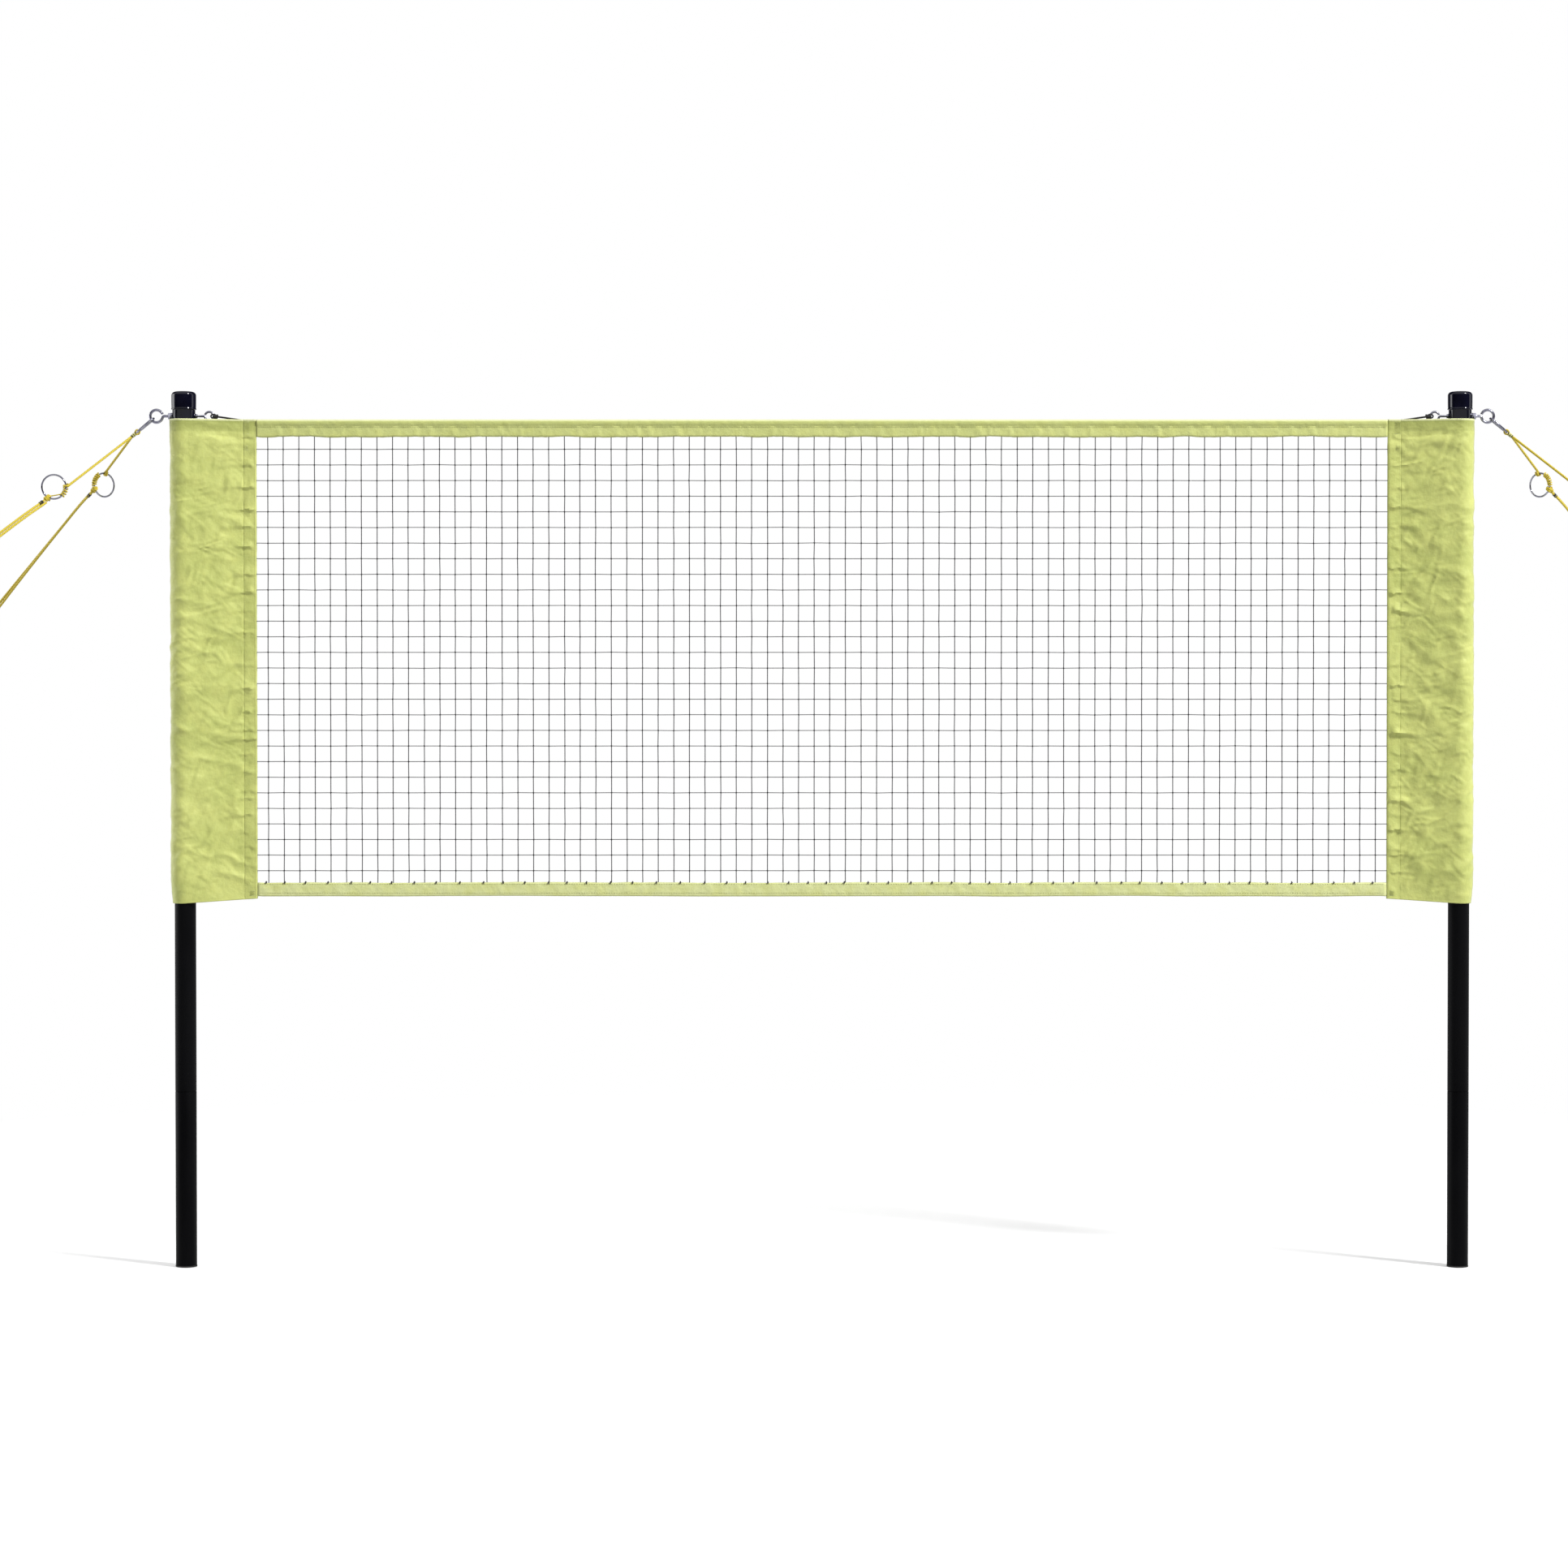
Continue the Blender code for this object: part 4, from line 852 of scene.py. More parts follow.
def ring_knot(key, side, line):
    """The rope's end tied on the ring: windings on the wire, a lump of crossing turns, and a dark stopper."""
    along = place(side, line_axes(line)[0])
    wire = ring_frame(side, line)[0] + place(side, Vector(line["knot"]).normalized()) * RING_RADIUS
    middle = wire + along * 0.003
    batch = Batch()
    angle = line["knot_angle"]
    for start, end, turns, radius in ((angle - 9, angle + 9, 2.0, 0.0019), *line["wraps"]):
        ring_winding(batch, side, line, start, end, turns, radius)
    if line["strand"]:
        first, last = (ring_point(side, line, angle, -0.0036) for angle in line["strand"])
        batch.sweep([first.lerp(last, i / 24) for i in range(25)], 0.0011, 10, plaited)
    batch.sweep(helix(middle, along, 0.0034, 0.4, 2.3, 0.0036), 0.0019, 12, plaited)
    batch.sweep(helix(middle + along * 0.0015, along, 0.0012, 2.0, 1.4, 0.0062), 0.0021, 12, plaited)
    batch.add(key + "_knot", YELLOW_ROPE, key + "_ring_knot", key + "_tensioner")
    start = line_point(side, line, line["return"][0])
    towards = line_point(side, line, line["return"][2]) - start
    collar = Batch()
    for shift, turns in ((0.0, 4.5), (0.0052, 1.5)):
        spot = start + towards.normalized() * (line["collar"] + shift)
        collar.sweep(helix(spot, towards, ROPE / 2 + 0.0004, 0.0, turns, 0.0010), 0.0006, 8)
    collar.add(key + "_stopper", DARK_THREAD, body=key + "_tensioner")


def snap_axes(side):
    origin = snap_point(side, 0.0)
    gate = snap_point(side, SNAP.gate.x, SNAP.gate.y) - origin
    pin = snap_point(side, 0.0, 0.0, 1.0) - origin
    return gate.normalized(), gate.cross(pin).normalized(), pin.normalized()


def snap_on_gate(side, distance, w=0.0):
    spot = SNAP.on_gate(distance)
    return snap_point(side, spot.x, spot.y, w)


def snap_hook(name, side):
    gate, across, pin = snap_axes(side)
    length = SNAP.shoulder + SNAP_HINGE_REACH + SNAP.wire
    middle = SNAP.pin - SNAP.shoulder + length / 2
    cutters = []
    for sign in (1, -1):
        centre = snap_on_gate(side, middle, sign * (SNAP_TONGUE / 2 + SNAP_WIRE / 2))
        cutters.append(block(centre, gate, across, (length, 2 * SNAP_WIRE, SNAP_WIRE)))
    hook = Batch().sweep([snap_point(side, u, v) for u, v in SNAP.body_path()], SNAP.wire, 20)
    add_piece(f"{name}_snap_hook_body", combined(hook.mesh(), cutters), ZINC, f"{name}_snap_hook")
    start = snap_on_gate(side, SNAP.pin - SNAP_HINGE_REACH)
    end = snap_on_gate(side, SNAP.opening - SNAP_NOSE - CLEARANCE)
    size = (2 * SNAP.shoulder, 2 * SNAP_WIRE, SNAP_TONGUE + 2 * CLEARANCE)
    slot = block(snap_on_gate(side, SNAP.pin), gate, across, size)
    bar = bevelled(combined(rod(start, end, SNAP.wire), [slot]), 0.0003)
    add_piece(f"{name}_snap_gate_bar", bar, ZINC, f"{name}_snap_gate", f"{name}_gate")
    ends = [snap_on_gate(side, SNAP.pin, w) for w in (-SNAP.wire, SNAP.wire)]
    rivet = bevelled(rod(*ends, SNAP_PIN_RADIUS, 20), 0.00015)
    add_piece(f"{name}_gate_rivet", rivet, ZINC, f"{name}_gate_pin")


def whipping(name, side):
    """The rope's middle looped through the hook, its legs bound side by side with pale and dark twine."""
    thin = 0.0016
    round_wire = SNAP.wire + thin + CLEARANCE
    beside = (ROPE + CLEARANCE) / 2
    bound = WHIPPING_END - WHIPPING_START
    legs = [
        (WHIPPING_END, beside, 0.0, ROPE / 2),
        (WHIPPING_START + 0.45 * bound, beside, 0.0, ROPE / 2),
        (WHIPPING_START + 0.05 * bound, 0.5 * beside, 0.55 * round_wire, 0.4 * ROPE),
    ]
    turn = arc((SNAP.end, 0.0), round_wire, math.radians(66), math.radians(294), 16)
    back = [(u, -v, -w, radius) for u, v, w, radius in reversed(legs)]
    route = smooth_route(legs + [(u, 0.0, w, thin) for u, w in turn] + back, 0.0009)
    path = [snap_point(side, *spot[:3]) for spot in route]
    loop = Batch().sweep(path, [spot[3] for spot in route], ROPE_SIDES, plaited)
    loop.add(f"{name}_rope_loop", YELLOW_ROPE, f"{name}_whipping")
    axis = snap_point(side, 1.0) - snap_point(side, 0.0)
    thread = 0.00045
    for groove_shade, material, bands in (
        ("dark", DARK_THREAD, ((0.08, 1.0), (0.52, 1.0), (0.95, 1.5))),
        ("pale", WHIPPING_TWINE, ((0.30, 3.2), (0.73, 3.2))),
    ):
        batch = Batch()
        for share, turns in bands:
            centre = snap_point(side, WHIPPING_START + bound * share)
            batch.sweep(oval_winding(centre, axis, side, turns, 2 * thread), thread, 8)
        batch.add(f"{name}_whipping_{groove_shade}", material)


def oval_winding(centre, axis, side, turns, pitch):
    """Thread wound round the two ropes that lie side by side."""
    axis = axis.normalized()
    thin = (snap_point(side, 0.0, 0.0, 1.0) - snap_point(side, 0.0)).normalized()
    wide = axis.cross(thin)
    return winding(centre, axis, wide * (ROPE + 0.0006), thin * (ROPE / 2 + 0.0007), 0.0, turns, pitch, 28)


# Poles and bolts


def soft_corner(corners, radius, steps=4):
    """A profile with its corners rounded."""
    rounded = [corners[0]]
    for before, corner, after in zip(corners, corners[1:], corners[2:]):
        corner = Vector(corner)
        into = Vector(before) - corner
        out = Vector(after) - corner
        cut = min(radius, into.length * 0.45, out.length * 0.45)
        start, end = corner + into.normalized() * cut, corner + out.normalized() * cut
        for i in range(steps + 1):
            t = i / steps
            rounded.append(tuple(start * (1 - t) ** 2 + corner * 2 * t * (1 - t) + end * t**2))
    rounded.append(corners[-1])
    return rounded


def bores(side):
    """Cutters for the two bolt holes through a cap's skirt and the pole."""
    return [
        rod(
            bolt_point(side, bolt, BOLT_TIP - CLEARANCE),
            bolt_point(side, bolt, SKIRT_RADIUS + POLE_RADIUS),
            bolt["wire"] / 2 + CLEARANCE,
        )
        for bolt in BOLTS.values()
    ]


def on_pole(side, profile, **settings):
    """A profile turned about the pole's axis."""
    return transformed(turned(profile, **settings), place(side, (HALF_SPACING, 0.0, 0.0)))


def poles(name, side):
    edge = 0.0004
    upper = [
        (TUBE_BORE, POLE_TOP - edge), (TUBE_BORE + edge, POLE_TOP), (POLE_RADIUS - edge, POLE_TOP),
        (POLE_RADIUS, POLE_TOP - edge), (POLE_RADIUS, JOINT_HEIGHT + edge),
        (POLE_RADIUS - edge, JOINT_HEIGHT), (TUBE_BORE + edge, JOINT_HEIGHT),
        (TUBE_BORE, JOINT_HEIGHT + edge),
    ]
    mesh = combined(on_pole(side, upper, closed=True, steps=72), bores(side))
    add_piece(f"{name}_upper_tube", mesh, POWDER_COAT, f"{name}_upper_pole")
    foot_top, spigot_top = (corner.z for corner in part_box(f"{name}_lower_pole"))
    spigot = TUBE_BORE - CLEARANCE
    bore = spigot - POLE_WALL
    shoulder = JOINT_HEIGHT - CLEARANCE
    lower = [
        (bore, spigot_top - edge), (bore + edge, spigot_top), (spigot - 2 * edge, spigot_top),
        (spigot, spigot_top - 4 * edge), (spigot, shoulder + edge), (spigot + edge, shoulder),
        (POLE_RADIUS - 2 * edge, shoulder), (POLE_RADIUS - edge / 2, shoulder - edge),
        (POLE_RADIUS, shoulder - 3 * edge), (POLE_RADIUS, foot_top + edge), (POLE_RADIUS - edge, foot_top),
        (TUBE_BORE, foot_top), (TUBE_BORE, shoulder - 3 * POLE_WALL), (bore, shoulder - 2 * POLE_WALL),
    ]
    mesh = on_pole(side, lower, closed=True, steps=72)
    add_piece(f"{name}_lower_tube", mesh, POWDER_COAT, f"{name}_lower_pole", f"{name}_lower_section")


def foot(name, side):
    flange = POLE_RADIUS + 0.0005
    plug = TUBE_BORE - CLEARANCE
    profile = [(0.0, 0.0025), (0.0141, 0.0025), (0.0141, 0.025), (plug - 0.001, 0.025), (plug, 0.0235)]
    for rib in range(4):
        low = 0.020 - rib * 0.0045
        inner = plug - 0.0006
        profile += [(plug, low + 0.002), (inner, low + 0.0016), (inner, low), (plug, low - 0.0004)]
    profile += [(plug, 0.0025), (flange - 0.0005, 0.0025), (flange, 0.0020), (flange, 0.0006)]
    profile += [(flange - 0.0006, 0.0), (0.0, 0.0)]
    mesh = on_pole(side, profile)
    add_piece(f"{name}_foot", mesh, FOOT_RUBBER, f"{name}_foot_plug", f"{name}_lower_section")


def cap(name, side):
    """Domed head with a soft shoulder, a flared lip, and a skirt and stem that hold the bolts."""
    head = SKIRT_RADIUS + CAP_LIP
    stem = TUBE_BORE - CLEARANCE
    groove = POLE_RADIUS + CLEARANCE
    skirt_bottom = HEAD_UNDERSIDE - CAP_SKIRT_LENGTH
    edge = 0.0070
    crown = [(0.0, CAP_TOP), (0.006, CAP_TOP - 0.00005), (head - edge - 0.003, CAP_TOP - 0.0004)]
    crown += arc((head - edge, CAP_TOP - edge - 0.0006), edge, math.radians(80), 0.0, 12)
    outer = [
        (head, CAP_TOP - 0.0200), (head - 0.0002, HEAD_UNDERSIDE + 0.0030),
        (head + 0.0004, HEAD_UNDERSIDE + 0.0014), (head + 0.0004, HEAD_UNDERSIDE),
        (SKIRT_RADIUS, HEAD_UNDERSIDE - 0.0004), (SKIRT_RADIUS, skirt_bottom),
        (groove, skirt_bottom), (groove, POLE_TOP + CLEARANCE), (stem, POLE_TOP + CLEARANCE),
        (stem, BOLT_HEIGHT - 0.012), (0.0, BOLT_HEIGHT - 0.012),
    ]
    profile = crown + soft_corner([crown[-1]] + outer, 0.0005)[1:]
    mesh = combined(on_pole(side, profile, steps=96), bores(side))
    add_piece(f"{name}_cap", mesh, CAP_PLASTIC, f"{name}_pole_cap")


def eye_bolt(key, side, bolt):
    """A bent wire: a threaded shank, a reverse bend and a nearly closed eye."""
    centre, radius, bend = bolt["reach"], bolt["radius"], BOLT_BEND * bolt["wire"]
    bend_centre = centre - math.sqrt(radius**2 + 2 * radius * bend)
    meeting = math.asin(bend / (radius + bend))
    thread = bolt["nut_end"] + 0.0012 - BOLT_TIP
    count = int(thread / (bolt["pitch"] / 6))
    shank = [(BOLT_TIP + thread * i / count, 0.0) for i in range(count + 1)]
    neck = arc((bend_centre, -bend), bend, math.pi / 2, meeting, 8)
    eye = arc((centre, 0.0), radius, math.pi + meeting, 3 * math.pi - BOLT_EYE_OPENING, 56)
    points = [bolt_point(side, bolt, reach, height) for reach, height in shank + neck + eye[1:]]

    def threaded(along, around):
        turn = (along / bolt["pitch"] + around / (2 * math.pi)) % 1.0
        return np.where(along < thread, 1 - 0.11 * np.abs(2 * turn - 1), 1.0)

    batch = Batch().sweep(points, bolt["wire"] / 2, 18, threaded)
    batch.add(key + "_eye", ZINC, key + "_eye_bolt", sharp=math.radians(50))


def nut_and_washer(key, side, bolt):
    flat, half = bolt["nut_flats"] / 2, bolt["nut_height"] / 2
    corner = 2 * flat / math.sqrt(3)
    start = bolt_point(side, bolt, bolt["washer_end"] + CLEARANCE)
    end = bolt_point(side, bolt, bolt["nut_end"])
    axis = end - start
    shoulder = half - (corner - flat) * 0.55
    dome = [(0.0, half), (flat, half), (corner, shoulder), (corner, -shoulder), (flat, -half), (0.0, -half)]
    rounding = transformed(turned(dome), (start + end) / 2, axis)
    body = combined(rod(start, end, corner, 6), [rounding], "INTERSECT")
    hole = rod(start - axis, end + axis, bolt["wire"] / 2 + CLEARANCE / 2, 32)
    add_piece(key + "_hex_nut", bevelled(combined(body, [hole]), 0.00012), ZINC, key + "_nut")
    thick, rim, inner = bolt["washer_thickness"] / 2, bolt["washer_radius"], bolt["wire"] / 2 + CLEARANCE
    edge = thick * 0.35
    profile = [
        (inner, thick), (rim - edge, thick), (rim, thick - edge), (rim, edge - thick),
        (rim - edge, -thick), (inner, -thick),
    ]
    middle = bolt_point(side, bolt, bolt["washer_end"] - thick)
    mesh = transformed(turned(profile, closed=True), middle, (1, 0, 0))
    add_piece(key + "_flat_washer", mesh, ZINC, key + "_washer")


CORD_START = BOLTS["inner"]["reach"] + BOLTS["inner"]["radius"] + 0.002  # where the top cord leaves its eye


def cord_knot(name, side):
    """The top cord's end, looped through the inner eye and knotted on itself."""
    bolt = BOLTS["inner"]
    radius = TOP_CORD / 2
    middle = bolt_point(side, bolt, CORD_START + 0.002, -0.001)
    out = bolt_point(side, bolt, 1.0) - bolt_point(side, bolt, 0.0)
    wire = bolt_point(side, bolt, bolt["reach"]) + out.normalized() * bolt["radius"]
    lift = bolt["wire"] / 2 + radius + CLEARANCE
    loop = []
    for i in range(25):
        angle = math.pi * (0.25 + 1.5 * i / 24)
        loop.append(wire + out * lift * 1.25 * math.cos(angle) + UP * 0.0035 * math.sin(angle))
        loop[-1].y += (i / 24 - 0.5) * 0.0032
    batch = Batch()
    batch.sweep(helix(middle, out, 0.0029, 0.0, 2.4, 0.0031), radius * 1.15)
    batch.sweep(helix(middle, out, 0.0009, 1.0, 1.0, 0.0080), radius * 1.1)
    batch.sweep(loop, radius * 0.9)
    batch.add(f"{name}_cord_hitch", BLACK_CORD, f"{name}_cord_knot")


def top_cord():
    """From the left knot into the tape's channel, along it, and out to the right knot."""
    start = CORD_START + 0.011 / 2 + CLEARANCE
    run = SLEEVE_REACH - start
    height = BOLT_HEIGHT - 0.001
    low = SLEEVE_TOP - FABRIC - 2 * CLEARANCE - TOP_CORD / 2
    first = HALF_SPACING - start
    shares = [(0.0, 0.0), (0.2, 0.25), (0.42, 0.54), (0.6, 0.78), (0.8, 0.94), (1.0, 1.0)]
    lead = [(first - run * share, 0.0, height - (height - low) * drop) for share, drop in shares]
    left = smooth_route([place(-1, point) for point in lead], 0.002)
    right = smooth_route([place(1, point) for point in reversed(lead)], 0.002)
    span = [left[-1].lerp(right[0], i / 60) for i in range(1, 60)]
    Batch().sweep(left + span + right, TOP_CORD * 0.56).add("top_cord_rope", BLACK_CORD, "top_cord")


# Cloth


NOISE_CELLS = 64


def eased(t):
    return t * t * (3 - 2 * t)


def unit(t):
    return np.clip(t, 0.0, 1.0)


def bell(t):
    return np.exp(-(t**2))


def value_noise(seed):
    """A smooth periodic curve through seeded random heights, as a function of a number or an array."""
    heights = np.random.default_rng(SEED + seed).uniform(-1.0, 1.0, NOISE_CELLS)

    def curve(where):
        low = np.floor(where).astype(int)
        t = eased(where - low)
        return heights[low % NOISE_CELLS] * (1 - t) + heights[(low + 1) % NOISE_CELLS] * t

    return curve


def surface_noise(seed):
    """Smooth noise over a surface."""
    table = np.random.default_rng(SEED + seed).uniform(-1.0, 1.0, (NOISE_CELLS, NOISE_CELLS))

    def field(u, v):
        i, j = np.floor(u).astype(int), np.floor(v).astype(int)
        s, t = eased(u - i), eased(v - j)
        near, far = i % NOISE_CELLS, (i + 1) % NOISE_CELLS
        rows = j % NOISE_CELLS, (j + 1) % NOISE_CELLS
        low, high = (table[near, row] * (1 - s) + table[far, row] * s for row in rows)
        return low * (1 - t) + high * t

    return field


def crease(distance, width):
    """A fold's height across it: a soft ridge with a sharper fall on one side."""
    t = distance / width
    return np.exp(-t * t) - 0.7 * np.exp(-((t - 1.1) ** 2) * 2.2)


def add_cloth(name, grid, uvs, material, replaced):
    """A grid of points as one sheet of fabric, thickened about its middle."""
    rows, columns = grid.shape[:2]
    faces, layer = [], []
    for i in range(rows - 1):
        for j in range(columns - 1):
            corners = (i, j), (i, j + 1), (i + 1, j + 1), (i + 1, j)
            faces.append([row * columns + column for row, column in corners])
            layer += [uvs[corner] for corner in corners]
    piece = add_piece(name, uv_mesh(grid.reshape(-1, 3), faces, layer), material, replaced)
    solid = piece.modifiers.new("thickness", "SOLIDIFY")
    solid.thickness = FABRIC
    solid.offset = 0.0


SLEEVE_RADIUS = SKIRT_RADIUS + 0.00485
SLEEVE_FOOT_RADIUS = POLE_RADIUS + 0.0025
SLEEVE_LENGTH = SLEEVE_TOP - SLEEVE_BOTTOM
# Heights above the lower hem of the gathers between the seam and the edge at the net
PLEATS = (
    0.836, 0.784, 0.746, 0.709, 0.674, 0.634, 0.596, 0.560, 0.524, 0.486, 0.417, 0.384, 0.369,
    0.341, 0.307, 0.294, 0.262, 0.231, 0.198, 0.180, 0.155, 0.123, 0.088, 0.079, 0.052,
)
# Wrinkle families as (angle in degrees, length, width, height)
WRINKLES = (
    (40.0, 0.070, 0.0190, 0.00240), (-14.0, 0.080, 0.0270, 0.00200), (64.0, 0.045, 0.0120, 0.00130),
    (16.0, 0.034, 0.0090, 0.00100), (-38.0, 0.036, 0.0100, 0.00080),
)
# The fold below the top hem runs from near the pole down to the seam
FOLD_START = (-0.021, 0.8452)
FOLD_SLOPE = 0.087


def sleeve_section(radius, columns):
    """Middle of the cloth at one level, from the front hem round the pole to the back hem."""
    seam = Vector((SLEEVE_SEAM_INSET - SLEEVE_REACH, -CLOTH_HALF))
    facing = math.atan2(-CLOTH_HALF, seam.x) % (2 * math.pi)
    touch = facing + math.acos(radius / seam.length)
    front = [(-SLEEVE_REACH, -CLOTH_HALF), tuple(seam)]
    back = [(out, -y) for out, y in reversed(front)]
    corners = np.array(front + arc((0.0, 0.0), radius, touch, 4 * math.pi - touch, 40) + back)
    steps = np.concatenate([[0.0], np.cumsum(np.linalg.norm(np.diff(corners, axis=0), axis=1))])
    groove = SLEEVE_SEAM_INSET + np.array([-0.0022, -0.0011, 0.0, 0.0011, 0.0022])
    wanted = np.sort(np.concatenate([np.linspace(0.0, steps[-1], columns), groove, steps[-1] - groove]))
    points = np.stack([np.interp(wanted, steps, corners[:, axis]) for axis in (0, 1)], axis=1)
    return points, wanted


def wrinkles(out, height, side, seed):
    """Crumpled cloth: sharp ridges in a few directions, bent slowly, stronger in some patches."""
    bend = surface_noise(seed * 10 + 9)(out * 26 + 40, height * 26 + 40)
    total = np.zeros_like(out)
    for index, (angle, length, width, size) in enumerate(WRINKLES):
        turn = math.radians(angle * side)
        along = out * math.cos(turn) + height * math.sin(turn)
        across = height * math.cos(turn) - out * math.sin(turn) + 0.008 * bend
        field = surface_noise(seed * 10 + index)(along / length + 30, across / width + 30)
        patch = 0.55 + 0.85 * np.abs(surface_noise(seed * 10 + index + 5)(out * 22 + 40, height * 15 + 40))
        total = total + size * patch * (0.6 - 2.0 * np.sqrt(field**2 + 0.006))
    return total


def pleats(inset, height, seed):
    """Gathers at the seam: each laps down over the cloth below it, and fades away from the seam."""
    total = np.zeros_like(inset)
    chance = np.random.default_rng(SEED + seed)
    share = unit(inset / SLEEVE_SEAM_INSET)
    away = np.clip(inset - SLEEVE_SEAM_INSET, 0.0, None)
    widening = 1.0 + 2.6 * unit(away / 0.05)
    for level in PLEATS:
        shift, rise, reach, size, width, begin = chance.uniform(0.0, 1.0, 6)
        level = level + (shift - 0.5) * 0.012 * (seed % 2)
        line = level + (0.0085 * rise - 0.001) * share * (2 - share) + 0.0012 * np.sin(9 * share + 6 * reach)
        t = (height - line) / ((0.0028 + 0.0014 * width) * widening)
        lap = np.where(t > 0, np.exp(-t / 2.6), bell(t * 1.3))
        fade = unit(0.25 + (inset - 0.009 * begin) / 0.006) * np.exp(-away / (0.010 + 0.036 * reach))
        total = total + (0.0012 + 0.0034 * size) * lap * fade
    return total


def top_fold(out, height):
    """The valley below the top hem, with a full roll of cloth under it."""
    above = height - FOLD_START[1] - FOLD_SLOPE * (out - FOLD_START[0])
    lower, upper = np.clip(above, None, 0) / 0.0035, np.clip(above, 0, None) / 0.014
    valley = np.where(above > 0, np.exp(-upper), np.exp(lower))
    roll = bell((above + 0.013) / 0.011)
    return (0.0020 * roll - 0.0026 * valley) * unit((FOLD_START[0] + 0.014 - out) / 0.03)


def sleeve_relief(out, height, side, seed):
    """How far the cloth stands out from its plain section, in metres."""
    inset = out + SLEEVE_REACH  # from the edge at the net
    ends = np.clip(height / 0.025, 0.15, 1.0) * np.clip((SLEEVE_LENGTH - height) / 0.020, 0.15, 1.0)
    tight = 0.34 + 0.66 * unit((inset - 0.008) / 0.022)
    on_pole = 1.0 - 0.55 * unit(out / 0.020)
    relief = wrinkles(out, height, side, seed) * on_pole * ends * tight
    relief = relief + pleats(inset, height, seed) * ends + top_fold(out, height)
    brims = bell((height - SLEEVE_LENGTH + 0.0016) / 0.0014) + bell((height - 0.0014) / 0.0012)
    relief = relief - 0.0006 * bell((inset - SLEEVE_SEAM_INSET) / 0.0010) + 0.0005 * brims
    room = 0.0009 + 0.14 * np.clip(inset - SLEEVE_SEAM_INSET, 0.0, 0.02)
    room = np.minimum(room, 0.0016 + 0.05 * height)
    return np.maximum(relief, -room * np.tanh(-np.minimum(relief, 0.0) / room))


def sleeve_height(out, height):
    """World height of a place on the sleeve: the lower hem rises towards the net."""
    hem = SLEEVE_RISE * np.clip(-out, 0.0, None) / SLEEVE_REACH
    return SLEEVE_BOTTOM + hem + (SLEEVE_LENGTH - hem) * height / SLEEVE_LENGTH


def sleeve(name, side, seed):
    """The cloth tube on the pole, flat and gathered where it is sewn to the net."""
    rows, columns = ((376, 112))
    tuck = 0.05  # height over which the cloth closes in on the pole at the lower hem
    hem = np.linspace(0.0, 0.011, 10)[:-1]  # rows lie closer together at the hems
    heights = np.concatenate([hem, np.linspace(0.011, 0.989, rows), 1.0 - hem[::-1]]) * SLEEVE_LENGTH
    plain, normals, girths = [], [], []
    for height in heights:
        ease = min(1.0, height / tuck)
        radius = SLEEVE_FOOT_RADIUS + (SLEEVE_RADIUS - SLEEVE_FOOT_RADIUS) * ease * (2 - ease)
        section, girth = sleeve_section(radius, columns)
        gradient = np.gradient(section, girth, axis=0)
        normal = np.stack([gradient[:, 1], -gradient[:, 0]], axis=1)
        plain.append(section)
        normals.append(normal / np.linalg.norm(normal, axis=1)[:, None])
        girths.append(girth)
    plain, normals, girths = np.array(plain), np.array(normals), np.array(girths)
    out, deep = plain[..., 0], plain[..., 1]
    level = np.repeat(heights[:, None], out.shape[1], axis=1)
    front, back = (sleeve_relief(out, level, side, face_seed) for face_seed in (seed, seed + 7))
    share = unit(0.5 + deep / 0.024)
    share = np.where(out > 0, eased(share), deep > 0)
    moved = plain + normals * (front * (1 - share) + back * share)[..., None]
    grid = np.stack([side * (HALF_SPACING + moved[..., 0]), moved[..., 1], sleeve_height(out, level)], axis=2)
    uvs = np.stack([girths, level], axis=2)
    if side > 0:
        grid, uvs = grid[:, ::-1], uvs[:, ::-1]
    add_cloth(
        f"{name}_sleeve_cloth", grid, uvs, SLEEVE_CLOTH, f"{name}_sleeve",
    )
    sleeve_sewing(name, side, seed)


def stitch(batch, start, end, radius=0.00028):
    """One stitch: a short thread with its ends sunk."""
    start, end = Vector(start), Vector(end)
    batch.sweep([start, start.lerp(end, 0.5), end], (radius * 0.5, radius, radius * 0.5), 5)


def stitch_row(batch, start, end, pitch, share):
    """A run of stitches between two points."""
    start, end = Vector(start), Vector(end)
    count = int((end - start).length / pitch)
    for i in range(count):
        first = start.lerp(end, i / count)
        stitch(batch, first, first + (end - start) * (share / count))


